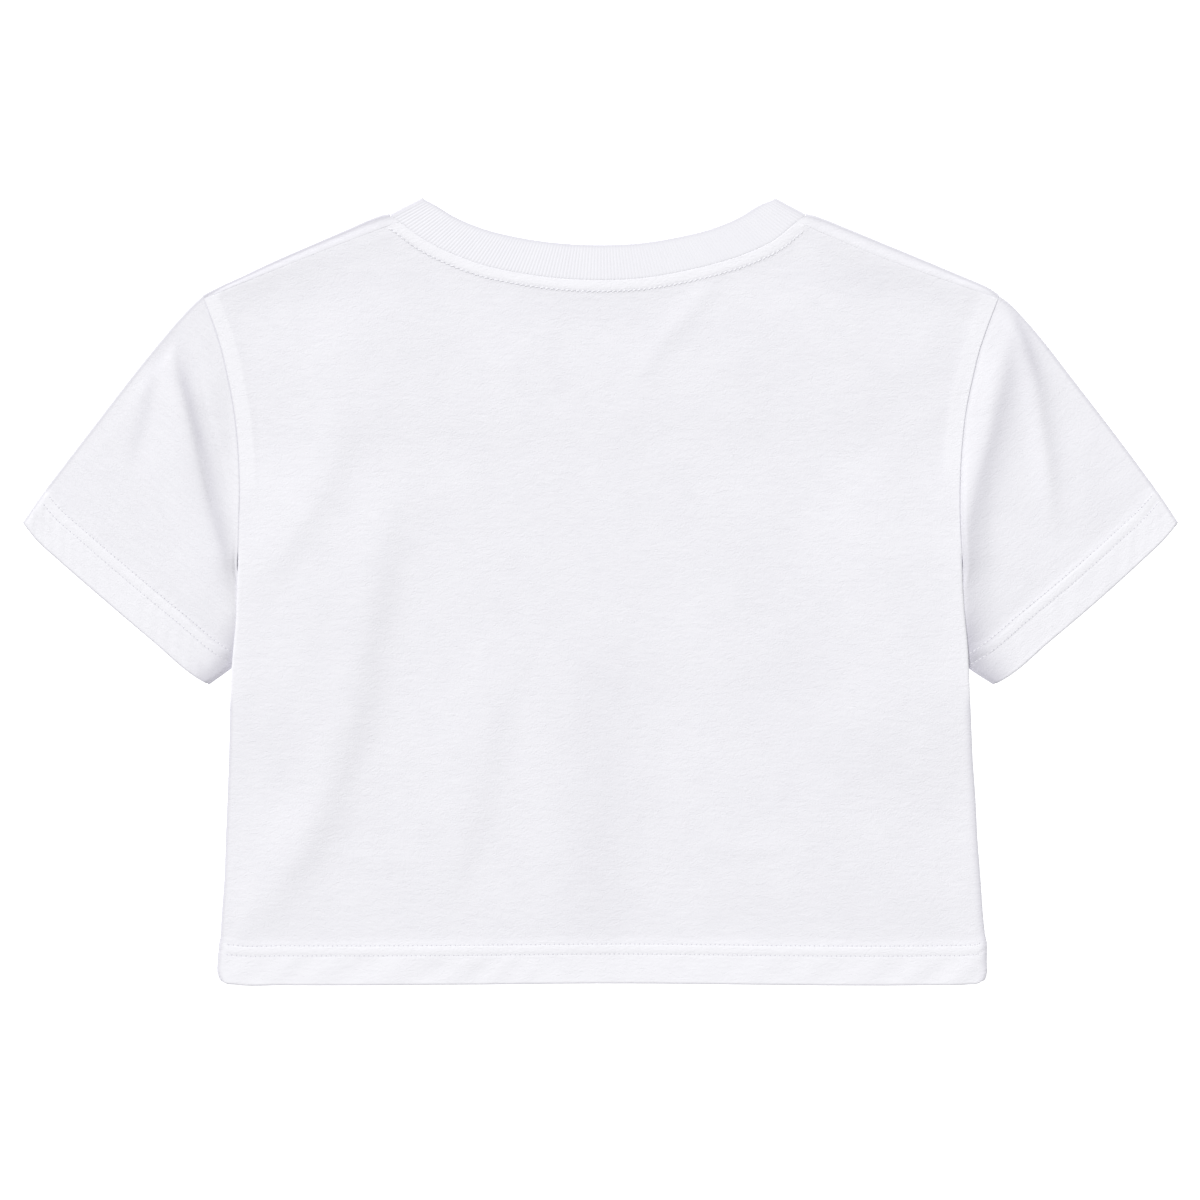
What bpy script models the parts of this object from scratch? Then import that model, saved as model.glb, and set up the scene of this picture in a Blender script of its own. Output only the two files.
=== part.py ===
"""Cropped short-sleeve top, laid flat on its front with the back panel up.

X runs across the garment, Y from the hem towards the neck, Z up from the surface that it lies on.
The origin is on that surface, in the middle of the outline. Tables and sizes are in millimetres.

Each body panel is a grid that fills the outline between its hem, side seams, armholes, shoulders
and neck. Each sleeve is a grid wrapped into a flattened tube. Solidify turns panels and sleeves
into walls. The neckband is a grid wrapped both round the neck and round its own cross-section.
"""

from collections import namedtuple
from math import cos, pi, radians, sin

import bmesh
import bpy
import numpy as np

MM = 0.001

# Walls and clearances
CLOTH = 1.2  # one layer of jersey, as a wall
RIB_BAND = 1.8  # the neckband, folded double
GAP = 0.3  # between pieces at a seam
LAYER_GAP = 0.4  # between one layer and the next
LAYER = CLOTH + LAYER_GAP
HEM_DEPTH = 25.0
HEM_RISE = 0.6  # turned hems stand this far above the single cloth
NECK_STRIP = 7.3  # neck seam to its topstitching
NECK_STRIP_RISE = 0.7
ARMHOLE_STRIP = 9.0
ARMHOLE_STRIP_RISE = 0.4
ARMHOLE_STRIP_FADE = (45.0, 85.0)  # heights between which the armhole strip fades in
STEP = 1.2  # run over which a raised strip falls back to the cloth
TUCK_RISE = 2 * LAYER + HEM_RISE  # the body panels ride this far over the tucked sleeve

# Neckband ribs
RIB_PITCH = 2.03
RIB_RISE = 0.25

# Layout of the walls
TURN_STEPS = 4  # faces round each folded edge
FRONT_INSET = 1.7  # the front panel's side edges lie this far inside the back's
FRONT_HEM_INSET = 0.8

# How the nets are divided
CURVE_SAMPLES = 241
SHOULDER_SAMPLES = 101
NECK_SAMPLES = 201
NECK_START = 0.25  # fraction of a panel's width where its shoulder meets its neck
HALF_GAP = GAP / 2
TINY = 1e-6
WELD = 0.01  # points of a wrapped grid this close are one
SIDE_COLUMNS = (18.0, 26.0, 34.0, 43.0, 52.0, 61.0)
SHOULDER_STEPS = 4
BACK_NECK_STEPS = 20
FRONT_NECK_STEPS = 20
FOLD_CLEARANCE = 0.45  # more room for the band where both turn over the shoulder
CORNER_STEP = 0.06  # of the folded-over end of the neck seam, between shoulder seam and band
HEM_ROWS = (0.0, 23.8, 25.2, 55.0, 88.0, 116.0, *range(138, 323, 13))
BACK_TOP_ROWS = (8.8, 7.0, 0.0)
BACK_UPPER_STEPS = 8
FRONT_TOP_ROWS = (0.0,)
FRONT_UPPER_STEPS = 6
BACK_SIDE_COLUMNS = (0.1, 0.4, 1.2, 2.4, 6.0, 11.0)
FRONT_SIDE_COLUMNS = (0.2, 11.0)
ARMHOLE_ROWS = (0.0, 4.0, 11.0)
CUFF_ROWS = (27.0, 24.0, 12.0, 0.0)
ARMHOLE_KNOTS = 11  # points of the body's armhole edge that a sleeve's seam is drawn through
SLEEVE_MIDDLE_STEPS = 7
SLEEVE_UPPER_STEPS = 13
SLEEVE_LOWER_STEPS = 7

# The back panel's rolled side edge: each column's distance in from the outline beside the side
# seam and beside the armhole, and how far its inner side drops.
LipRow = namedtuple("LipRow", "side armhole drop")
LIP = [
    LipRow(1.2, 0.15, 1.3),
    LipRow(1.2, 1.0, 0.4),
    LipRow(1.45, 2.4, 0.1),
    LipRow(2.4, 4.0, 0.0),
    LipRow(6.0, 9.0, 0.0),
    LipRow(11.0, 11.0, 0.0),
]
LIP_FADE = (-6.0, 8.0)  # heights between which the rolled edge opens out to the armhole
FRONT_INSET_FADE = (9.0, 22.0)  # and between which the front panel's edge comes out under it

# The neckband's cross-section: fraction of its width from the seam, height from its middle in
# half thicknesses, and how much of the rib it carries.
SectionPoint = namedtuple("SectionPoint", "width height ribbed")
BAND_SECTION = [
    SectionPoint(0.0, 1.0, 1.0),
    SectionPoint(0.955, 1.0, 1.0),
    SectionPoint(1.0, 0.4, 0.5),
    SectionPoint(1.0, -0.4, 0.0),
    SectionPoint(0.955, -1.0, 0.0),
    SectionPoint(0.0, -1.0, 0.0),
]

Edge = namedtuple("Edge", "up left right")
Point = namedtuple("Point", "across up")
Fold = namedtuple("Fold", "start middle end height left_width right_width")

# Side seams from the hem, then the armhole seams from the underarm (up 0) to the shoulder.
BODY_SIDES = [
    Edge(-247.0, -240.7, 243.9),
    Edge(-243.5, -242.4, 245.4),
    Edge(-234.0, -242.6, 245.5),
    Edge(-221.5, -241.3, 245.0),
    Edge(-208.8, -240.7, 243.7),
    Edge(-183.0, -238.8, 241.8),
    Edge(-158.0, -237.9, 239.9),
    Edge(-132.5, -236.9, 238.6),
    Edge(-107.0, -235.8, 236.7),
    Edge(-82.0, -235.0, 235.5),
    Edge(-56.4, -234.3, 234.3),
    Edge(-36.0, -232.7, 233.4),
    Edge(-16.4, -230.9, 231.6),
    Edge(0.0, -230.3, 230.4),
    Edge(22.4, -229.5, 229.5),
    Edge(41.0, -229.2, 228.6),
    Edge(60.0, -228.7, 228.4),
    Edge(80.0, -229.2, 229.1),
    Edge(99.0, -230.5, 230.6),
    Edge(118.0, -232.9, 233.1),
    Edge(135.0, -236.2, 236.7),
    Edge(152.0, -240.0, 240.8),
    Edge(170.3, -245.7, 247.0),
    Edge(185.6, -251.6, 252.9),
]

HEM = [
    Point(-240.7, -247.0),
    Point(-238.5, -248.8),
    Point(-232.0, -249.9),
    Point(-200.0, -250.3),
    Point(-90.0, -250.0),
    Point(0.0, -249.2),
    Point(60.0, -249.5),
    Point(100.0, -250.0),
    Point(215.0, -250.2),
    Point(234.0, -249.8),
    Point(241.0, -248.8),
    Point(243.4, -247.0),
]

# Shoulder folds: the outline's upper edge, where the front panel turns over to the back.
LEFT_SHOULDER = [
    Point(-252.0, 188.1),
    Point(-244.5, 192.2),
    Point(-228.6, 199.5),
    Point(-211.5, 207.7),
    Point(-176.5, 223.0),
    Point(-158.8, 230.4),
    Point(-142.2, 237.4),
    Point(-133.7, 239.6),
]
RIGHT_SHOULDER = [
    Point(130.9, 239.6),
    Point(138.4, 237.6),
    Point(156.2, 230.7),
    Point(175.3, 223.0),
    Point(212.7, 207.6),
    Point(228.6, 200.9),
    Point(238.1, 197.0),
    Point(248.3, 192.4),
    Point(253.3, 188.1),
]

# Shoulder seams, on the back just below those folds, from the armhole to the neck seam.
LEFT_SHOULDER_SEAM = [Point(-251.6, 185.6), Point(-176.0, 216.0), Point(-127.2, 234.6)]
RIGHT_SHOULDER_SEAM = [Point(124.9, 234.5), Point(163.0, 218.0), Point(252.9, 185.6)]

# Neck seam, where the rib band meets the panels, from the left shoulder fold to the right.
BACK_NECK_SEAM = [
    Point(-132.6, 237.9),
    Point(-127.2, 234.6),
    Point(-114.3, 225.0),
    Point(-93.3, 214.2),
    Point(-71.8, 206.5),
    Point(-50.8, 202.1),
    Point(-25.0, 198.7),
    Point(0.0, 197.6),
    Point(25.0, 198.7),
    Point(52.7, 203.2),
    Point(74.3, 208.4),
    Point(95.3, 215.4),
    Point(111.1, 223.2),
    Point(124.9, 234.5),
    Point(129.9, 237.9),
]
FRONT_NECK_SEAM = [
    Point(-132.6, 237.9),
    Point(-132.3, 222.0),
    Point(-126.5, 198.0),
    Point(-112.0, 173.0),
    Point(-88.0, 150.5),
    Point(-50.0, 133.0),
    Point(0.0, 127.0),
    Point(48.0, 133.0),
    Point(86.0, 150.5),
    Point(109.5, 173.0),
    Point(123.8, 198.0),
    Point(129.6, 222.0),
    Point(129.9, 237.9),
]

# The neckband's free edge, on the same two routes.
BACK_NECK_EDGE = [
    Point(-111.6, 248.8),
    Point(-104.8, 245.3),
    Point(-92.7, 238.0),
    Point(-74.9, 230.5),
    Point(-50.0, 224.4),
    Point(-25.0, 221.0),
    Point(0.0, 219.9),
    Point(25.0, 221.0),
    Point(48.0, 224.6),
    Point(71.8, 230.5),
    Point(89.5, 238.0),
    Point(101.6, 245.3),
    Point(110.0, 248.6),
]
FRONT_NECK_EDGE = [
    Point(-111.6, 248.8),
    Point(-110.0, 226.0),
    Point(-104.0, 205.0),
    Point(-92.0, 184.0),
    Point(-72.0, 166.0),
    Point(-40.0, 153.0),
    Point(0.0, 149.0),
    Point(39.0, 153.0),
    Point(70.5, 166.0),
    Point(90.5, 184.0),
    Point(102.5, 205.0),
    Point(108.5, 226.0),
    Point(110.0, 248.6),
]

# Sleeve edges, a column for each side: the top fold down to the cuff, the cuff, and the underarm
# fold, whose inner end is tucked under the body.
SLEEVE_TOP = [
    Edge(186.9, -253.4, 254.8),
    Edge(184.6, -256.0, 258.2),
    Edge(172.2, -268.0, 270.5),
    Edge(159.5, -278.8, 281.3),
    Edge(134.1, -299.3, 301.0),
    Edge(108.7, -318.8, 320.6),
    Edge(83.3, -338.3, 339.7),
    Edge(57.9, -357.3, 358.1),
    Edge(43.6, -366.9, 367.5),
]
CUFF = [
    Edge(43.6, -366.9, 367.5),
    Edge(32.5, -358.1, 358.1),
    Edge(19.8, -344.2, 344.8),
    Edge(-5.6, -315.0, 316.8),
    Edge(-31.0, -285.1, 287.0),
    Edge(-56.4, -254.0, 255.9),
    Edge(-59.4, -248.6, 250.2),
]
SLEEVE_UNDERARM = [
    Edge(-8.0, -214.6, 214.6),
    Edge(-22.0, -213.4, 213.4),
    Edge(-37.3, -219.5, 219.5),
    Edge(-48.7, -233.7, 233.7),
    Edge(-59.4, -248.6, 250.2),
]
# Where the sleeve's armhole edge leaves the body's and goes under it.
ARMHOLE_TUCK = [Edge(12.0, -230.0, 230.0), Edge(0.0, -226.0, 226.0), Edge(-8.0, -214.6, 214.6)]
ARMHOLE_MEETS_BODY = 12.0

# Soft folds: crest lines with their height and the reach of each flank.
BACK_FOLDS = [
    Fold(Point(-124.0, 70.0), Point(-155.0, -70.0), Point(-216.0, -194.0), 3.2, 22.0, 11.0),
    Fold(Point(-172.0, 97.0), Point(-186.0, 52.0), Point(-214.0, 15.0), 1.8, 14.0, 9.0),
    Fold(Point(-78.0, -40.0), Point(-88.0, -110.0), Point(-108.0, -190.0), 1.3, 22.0, 14.0),
    Fold(Point(-26.0, -60.0), Point(-24.0, -130.0), Point(-30.0, -205.0), 1.0, 28.0, 20.0),
    Fold(Point(66.0, 188.0), Point(50.0, 163.0), Point(26.0, 131.0), 1.0, 12.0, 9.0),
    Fold(Point(150.0, -130.0), Point(178.0, -168.0), Point(204.0, -205.0), 1.4, 16.0, 14.0),
    Fold(Point(215.0, 160.0), Point(192.0, 138.0), Point(172.0, 120.0), 1.0, 12.0, 9.0),
]
LEFT_SLEEVE_FOLDS = [
    Fold(Point(-262.0, 150.0), Point(-243.0, 92.0), Point(-234.0, 36.0), 1.8, 7.0, 7.0),
    Fold(Point(-286.0, 118.0), Point(-268.0, 60.0), Point(-247.0, -8.0), 2.2, 16.0, 13.0),
    Fold(Point(-306.0, 96.0), Point(-312.0, 58.0), Point(-304.0, 20.0), 1.2, 14.0, 10.0),
]
RIGHT_SLEEVE_FOLDS = [
    Fold(Point(260.0, 150.0), Point(244.0, 92.0), Point(234.0, 36.0), 1.8, 7.0, 7.0),
    Fold(Point(272.0, 126.0), Point(268.0, 60.0), Point(250.0, -8.0), 2.4, 13.0, 16.0),
    Fold(Point(288.0, 122.0), Point(304.0, 70.0), Point(310.0, 26.0), 1.3, 10.0, 12.0),
]
FOLD_MARGIN = 9.0  # folds die away within this of an armhole seam
CUFF_MARGIN = 40.0  # and within this of a cuff
SLEEVE_FOLD_FADE = (0.02, 0.14)  # and over this share of a sleeve's width at its folded edges
FOLD_SAMPLES = 41
FOLD_BLUNTNESS = 0.7  # 1 tapers a fold's height as a half sine, less keeps it high for longer

# Where the back panel rises over the thicker neckband beneath it, and where both panels rise
# over the tucked corner of a sleeve: half sizes of the level top, then the run down from it.
NECK_PAD = {"half_width": 148.0, "foot": 118.0, "run": 36.0}
TUCK_PAD = {"height": -20.0, "half_height": 33.0, "half_width": 24.0, "run": 55.0}

WHITE_JERSEY = (0.860, 0.856, 0.900, 1.0)
WHITE_RIB = (0.885, 0.882, 0.915, 1.0)
CLOTH_ROUGHNESS = 0.92
CREASE_ANGLE = 50.0  # edges sharper than this are shaded as creases


def table(rows, *columns):
    return np.array([[getattr(row, column) for column in columns] for row in rows])


def smooth(knots, values, at):
    """A smooth curve through the values at the knots, read at other places."""
    slope = np.gradient(values, knots)
    first = np.clip(np.searchsorted(knots, at, side="right") - 1, 0, len(knots) - 2)
    run = knots[first + 1] - knots[first]
    t = np.clip((at - knots[first]) / run, 0.0, 1.0)
    rise = values[first + 1] - values[first]
    start, end = slope[first] * run, slope[first + 1] * run
    bow = (start - rise) * (1 - t) + (rise - end) * t
    return values[first] + t * rise + t * (1 - t) * bow


def route(points, count=CURVE_SAMPLES):
    """Evenly spaced points along a smooth curve through a table's points."""
    knots = np.concatenate([[0.0], np.cumsum(np.hypot(*np.diff(points, axis=0).T))])
    dense = np.linspace(0.0, knots[-1], count * 4)
    curve = np.stack([smooth(knots, points[:, k], dense) for k in (0, 1)], axis=1)
    return along(curve, np.linspace(0.0, 1.0, count))


def along(curve, fractions):
    """Points at the given fractions of a curve's length."""
    length = np.concatenate([[0.0], np.cumsum(np.hypot(*np.diff(curve, axis=0).T))])
    return np.stack([np.interp(fractions, length / length[-1], curve[:, k]) for k in (0, 1)], axis=-1)


def shifted(curve, distance):
    """The curve moved sideways, to its right as it runs."""
    heading = np.gradient(curve, axis=0)
    heading /= np.hypot(*heading.T)[:, None]
    return curve + distance * np.stack([heading[:, 1], -heading[:, 0]], axis=1)


def ramp(value, low, high):
    t = np.clip((value - low) / (high - low), 0.0, 1.0)
    return t * t * (3 - 2 * t)


def distance_to(curve, x, y):
    away = np.hypot(x[..., None] - curve[:, 0], y[..., None] - curve[:, 1])
    return away.min(axis=-1)


def fold_height(folds, x, y):
    """The height that soft folds add over the flat cloth."""
    total = np.zeros_like(x)
    for fold in folds:
        crest = route(np.array([fold.start, fold.middle, fold.end]), FOLD_SAMPLES)
        heading = np.gradient(crest, axis=0)
        dx, dy = x[..., None] - crest[:, 0], y[..., None] - crest[:, 1]
        nearest = np.hypot(dx, dy).argmin(axis=-1)
        away = np.hypot(dx, dy).min(axis=-1)
        cross = heading[:, 0] * dy - heading[:, 1] * dx
        side = np.take_along_axis(cross, nearest[..., None], axis=-1)[..., 0]
        downwards = fold.end.up < fold.start.up
        on_left = (side < 0) == downwards
        reach = np.where(on_left, fold.left_width, fold.right_width)
        taper = np.sin(pi * (nearest + 1) / (FOLD_SAMPLES + 1)) ** FOLD_BLUNTNESS
        total += fold.height * taper * np.exp(-((away / reach) ** 2))
    return total


def body_side(side, up):
    """X of the side seam and armhole seam at a height."""
    rows = table(BODY_SIDES, "up", side)
    return smooth(rows[:, 0], rows[:, 1], up)


def hem_height(x):
    rows = table(HEM, "across", "up")
    return smooth(rows[:, 0], rows[:, 1], x)


def neck_pad(x, y):
    run = NECK_PAD["run"]
    sideways = 1 - ramp(np.abs(x), NECK_PAD["half_width"], NECK_PAD["half_width"] + run)
    return sideways * ramp(y, NECK_PAD["foot"] - run, NECK_PAD["foot"])


def tuck_pad(x, y):
    from_side = np.minimum(x - body_side("left", y), body_side("right", y) - x)
    sideways = np.maximum(from_side - TUCK_PAD["half_width"], 0)
    lengthways = np.maximum(np.abs(y - TUCK_PAD["height"]) - TUCK_PAD["half_height"], 0)
    return 1 - ramp(np.hypot(sideways, lengthways), 0, TUCK_PAD["run"])


def upper_underside(x, y):
    """Height of the underside of whatever lies on the front panel."""
    return LAYER + neck_pad(x, y) * (RIB_BAND - CLOTH)


def read(curve, fraction):
    """Points of a curve whose samples are evenly spread over its parameter."""
    knots = np.linspace(0.0, 1.0, len(curve))
    return np.stack([np.interp(fraction, knots, curve[:, k]) for k in (0, 1)], axis=-1)


def filled(bottom, top, left, right, u, v, side_reach=1.0):
    """Points inside four edge curves, at fractions u across and v up.

    The side edges' own shape dies away at side_reach of the way in from each.
    """
    a, b = u[..., None], v[..., None]
    plain = (1 - b) * read(bottom, u) + b * read(top, u)
    left_bow = read(left, v) - (1 - b) * left[0] - b * left[-1]
    right_bow = read(right, v) - (1 - b) * right[0] - b * right[-1]
    left_share = np.clip(1 - a / side_reach, 0, 1)
    right_share = np.clip(1 - (1 - a) / side_reach, 0, 1)
    return plain + left_share * left_bow + right_share * right_bow


def stations(breaks, counts):
    """Rising values through the breaks, with the given number of steps between each two."""
    runs = [np.linspace(a, b, n, endpoint=False) for a, b, n in zip(breaks, breaks[1:], counts)]
    return np.concatenate(runs + [[breaks[-1]]])


def collection_for(name):
    collection = bpy.data.collections.new(name)
    bpy.context.scene.collection.children.link(collection)
    return collection


def clear_scene():
    for obj in list(bpy.data.objects):
        bpy.data.objects.remove(obj, do_unlink=True)


def cloth_material(name, color):
    material = bpy.data.materials.new(name)
    material.use_nodes = True
    shader = material.node_tree.nodes["Principled BSDF"]
    shader.inputs["Base Color"].default_value = color
    shader.inputs["Roughness"].default_value = CLOTH_ROUGHNESS
    shader.inputs["Metallic"].default_value = 0.0
    return material


def add_object(name, mesh, material, garment):
    mesh.materials.append(material)
    mesh.shade_smooth()
    mesh.set_sharp_from_angle(angle=radians(CREASE_ANGLE))
    obj = bpy.data.objects.new(name, mesh)
    garment["collection"].objects.link(obj)
    obj.parent = garment["empty"]
    return obj


def grid_net(points, walls, keep):
    """A grid primitive with its vertices moved to a net of points, less the cells outside keep."""
    columns, rows = points.shape[0] - 1, points.shape[1] - 1
    net = bmesh.new()
    bmesh.ops.create_grid(net, x_segments=columns, y_segments=rows, size=1.0)
    group = net.verts.layers.deform.verify()
    thickest = walls.max()
    dropped = []
    for vert in net.verts:
        i = round((vert.co.x + 1) / 2 * columns)
        j = round((vert.co.y + 1) / 2 * rows)
        vert.co = points[i, j] * MM
        vert[group][0] = walls[i, j] / thickest
        if not keep[i, j]:
            dropped.append(vert)
    bmesh.ops.delete(net, geom=dropped, context="VERTS")
    return net


def shell(name, points, walls, material, garment, keep=None, closed=False):
    """A wall on a net of points, which is its inner side."""
    if keep is None:
        keep = np.ones(walls.shape, bool)
    net = grid_net(points, walls, keep)
    if closed:
        bmesh.ops.remove_doubles(net, verts=net.verts, dist=WELD * MM)
    mesh = bpy.data.meshes.new(name)
    net.to_mesh(mesh)
    net.free()
    obj = add_object(name, mesh, material, garment)
    wall_group = obj.vertex_groups.new(name="wall")
    solidify = obj.modifiers.new("Wall", "SOLIDIFY")
    solidify.thickness = walls.max() * MM
    solidify.offset = 1.0
    solidify.vertex_group = wall_group.name
    solidify.thickness_vertex_group = 0.0
    solidify.use_quality_normals = True
    return obj


def panel_plan(top_edge, u, v):
    """Plan points of a body panel between the hem, the two sides and its top edge."""
    heights = np.linspace(BODY_SIDES[0].up, top_edge[0, 1], CURVE_SAMPLES)
    left = np.stack([body_side("left", heights), heights], axis=1)
    heights = np.linspace(BODY_SIDES[0].up, top_edge[-1, 1], CURVE_SAMPLES)
    right = np.stack([body_side("right", heights), heights], axis=1)
    hem_x = np.linspace(left[0, 0], right[0, 0], CURVE_SAMPLES)
    hem = np.stack([hem_x, hem_height(hem_x)], axis=1)
    return filled(hem, top_edge, left, right, u, v, NECK_START)


def top_edge(left_shoulder, neck, right_shoulder):
    """The three top edges joined, with the neck over the middle half."""
    return np.concatenate([left_shoulder[:-1], neck, right_shoulder[1:]])


def panel_columns(neck_steps, side_columns):
    """Fractions across a body panel, closer together beside the sleeves."""
    width = 2 * abs(BODY_SIDES[0].left)
    near = np.concatenate([side_columns, SIDE_COLUMNS]) / width
    shoulder = stations([near[-1], NECK_START], [SHOULDER_STEPS])[1:]
    left_half = np.concatenate([near, shoulder])
    neck = stations([NECK_START, 1 - NECK_START], [neck_steps])[1:-1]
    return np.concatenate([left_half, neck, 1 - left_half[::-1]])


def panel_rows(length, top_rows, upper_steps):
    """Fractions up each column: fixed distances from the hem and the top, even steps between."""
    from_hem = np.array(HEM_ROWS)
    low = from_hem / length[:, None]
    high = 1 - np.array(top_rows) / length[:, None]
    between = np.linspace(0, 1, upper_steps + 1)[1:-1]
    middle = low[:, -1:] + between * (high[:, :1] - low[:, -1:])
    return np.concatenate([low, middle, high], axis=1)


def back_neck():
    """The back neck seam in straight pieces: the two folded-over ends and the panel's own steps."""
    seam = route(table(BACK_NECK_SEAM, "across", "up"))
    corners = LEFT_SHOULDER_SEAM[-1].across, RIGHT_SHOULDER_SEAM[0].across
    x = np.linspace(*corners, CURVE_SAMPLES)
    panel = np.stack([x, np.interp(x, seam[:, 0], seam[:, 1])], axis=1)
    return np.concatenate([seam[:1], along(panel, np.linspace(0, 1, BACK_NECK_STEPS + 1)), seam[-1:]])


def front_neck():
    seam = route(table(FRONT_NECK_SEAM, "across", "up"))
    return along(seam, np.linspace(0, 1, FRONT_NECK_STEPS + 1))


def shoulder_seams():
    """Left and right shoulder seams, ending clear of the neckband."""
    neck = shifted(back_neck(), HALF_GAP)
    left = table(LEFT_SHOULDER_SEAM, "across", "up")
    right = table(RIGHT_SHOULDER_SEAM, "across", "up")
    left[-1], right[0] = neck[1], neck[-2]
    return route(left, SHOULDER_SAMPLES), route(right, SHOULDER_SAMPLES)


def back_panel(garment):
    """The uppermost panel: its side edges roll down over the front panel's."""
    shoulder_left, shoulder_right = shoulder_seams()
    neck = along(shifted(back_neck(), HALF_GAP)[1:-1], np.linspace(0, 1, NECK_SAMPLES))
    edge = top_edge(shoulder_left, neck, shoulder_right)
    across = panel_columns(BACK_NECK_STEPS, BACK_SIDE_COLUMNS)
    top = read(edge, across)
    slope = np.gradient(top[:, 1], top[:, 0])
    up = panel_rows(top[:, 1] - hem_height(top[:, 0]), BACK_TOP_ROWS, BACK_UPPER_STEPS)
    strip_rows = -len(BACK_TOP_ROWS)
    up[:, strip_rows:] = 1 - (1 - up[:, strip_rows:]) * np.hypot(1, slope)[:, None]
    u = np.repeat(across[:, None], up.shape[1], axis=1)
    plan = panel_plan(edge, u, up)
    x, y = plan[..., 0], plan[..., 1]
    drop = np.zeros_like(x)
    at_armhole = ramp(y, *LIP_FADE)
    for k, (side_inset, armhole_inset, lip_drop) in enumerate(LIP):
        inset = side_inset + at_armhole * (armhole_inset - side_inset)
        x[k] = body_side("left", y[k]) + inset[k]
        x[-1 - k] = body_side("right", y[-1 - k]) - inset[-1 - k]
        drop[[k, -1 - k]] = lip_drop * (1 - at_armhole[[k, -1 - k]])
    from_side = np.minimum(x - body_side("left", y), body_side("right", y) - x)
    folds = fold_height(BACK_FOLDS, x, y) * ramp(from_side, LIP[-1].side, FOLD_MARGIN)
    z = upper_underside(x, y) - drop + folds + TUCK_RISE * tuck_pad(x, y)
    hem_strip = 1 - ramp(y - hem_height(x), HEM_DEPTH - STEP, HEM_DEPTH)
    neck_strip = neck_strip_share(x, y)
    armhole_strip = 1 - ramp(from_side, ARMHOLE_STRIP, ARMHOLE_STRIP + STEP)
    armhole_strip = armhole_strip * ramp(y, *ARMHOLE_STRIP_FADE)
    rises = [HEM_RISE * hem_strip, NECK_STRIP_RISE * neck_strip, ARMHOLE_STRIP_RISE * armhole_strip]
    walls = CLOTH + np.max(rises, axis=0)
    return shell("back", np.stack([x, y, z], axis=-1), walls, garment["jersey"], garment)


def neck_strip_share(x, y):
    """1 on the raised strip of cloth outside the neck seam, 0 beyond its topstitching."""
    seam = route(table(BACK_NECK_SEAM, "across", "up"))
    return 1 - ramp(distance_to(seam, x, y), NECK_STRIP, NECK_STRIP + STEP)


def front_panel(garment):
    """The panel on the surface. Its shoulders turn over to the shoulder seams on the back."""
    turn_out = CLOTH + LAYER_GAP / 2
    folds = {}
    for side, rows in (("left", LEFT_SHOULDER), ("right", RIGHT_SHOULDER)):
        folds[side] = shifted(route(table(rows, "across", "up"), SHOULDER_SAMPLES), turn_out)
    seam = along(shifted(front_neck(), HALF_GAP), np.linspace(0, 1, NECK_SAMPLES))
    seam[0, 0] -= FOLD_CLEARANCE
    seam[-1, 0] += FOLD_CLEARANCE
    folds["left"][-1], folds["right"][0] = seam[0], seam[-1]
    edge = top_edge(folds["left"], seam, folds["right"])
    across = panel_columns(FRONT_NECK_STEPS, FRONT_SIDE_COLUMNS)
    top = read(edge, across)
    up = panel_rows(top[:, 1] - hem_height(top[:, 0]), FRONT_TOP_ROWS, FRONT_UPPER_STEPS)
    u = np.repeat(across[:, None], up.shape[1], axis=1)
    plan = panel_plan(edge, u, up)
    x, y = plan[..., 0], plan[..., 1]
    y[:, 0] += FRONT_HEM_INSET
    inset = FRONT_INSET + ramp(y, *FRONT_INSET_FADE) * (HALF_GAP - FRONT_INSET)
    x[0] = body_side("left", y[0]) + inset[0]
    x[-1] = body_side("right", y[-1]) - inset[-1]
    z = CLOTH + TUCK_RISE * tuck_pad(x, y)
    net = np.stack([x, y, z], axis=-1)
    wrap = shoulder_wrap(across, net[:, -1])
    net = np.concatenate([net, wrap], axis=1)
    keep = np.ones(net.shape[:2], bool)
    on_neck = (across > NECK_START + TINY) & (across < 1 - NECK_START - TINY)
    keep[on_neck, -wrap.shape[1]:] = False
    neck_strip = neck_strip_share(net[..., 0], net[..., 1])
    neck_strip[:, :-wrap.shape[1] + 1] = 0.0
    walls = CLOTH + NECK_STRIP_RISE * neck_strip
    shell("front", net[::-1], walls[::-1], garment["jersey"], garment, keep=keep[::-1])


def shoulder_wrap(across, fold):
    """Rows that carry the shoulders round the fold and down to the shoulder seams."""
    left_seam, right_seam = (shifted(seam, -GAP) for seam in shoulder_seams())
    neck = shifted(back_neck(), HALF_GAP)
    left_seam[-1] += CORNER_STEP * (neck[0] - neck[1])
    right_seam[0] += CORNER_STEP * (neck[-1] - neck[-2])
    between = np.linspace(left_seam[-1], right_seam[0], NECK_SAMPLES)
    seam = read(top_edge(left_seam, between, right_seam), across)
    steps = np.diff(fold[:, :2], axis=0)
    before, after = np.concatenate([steps[:1], steps]), np.concatenate([steps, steps[-1:]])
    heading = np.where((across < 0.5)[:, None], before, after)
    outwards = np.stack([-heading[:, 1], heading[:, 0]], axis=1) / np.hypot(*heading.T)[:, None]
    top = upper_underside(fold[:, 0], fold[:, 1])
    radius = (top - CLOTH) / 2
    rows = []
    for step in range(1, TURN_STEPS + 1):
        angle = pi * step / TURN_STEPS
        plan = fold[:, :2] + outwards * (radius * sin(angle))[:, None]
        rows.append(np.column_stack([plan, CLOTH + radius * (1 - cos(angle))]))
    rows.append(np.column_stack([seam, upper_underside(seam[:, 0], seam[:, 1])]))
    return np.stack(rows, axis=1)


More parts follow.
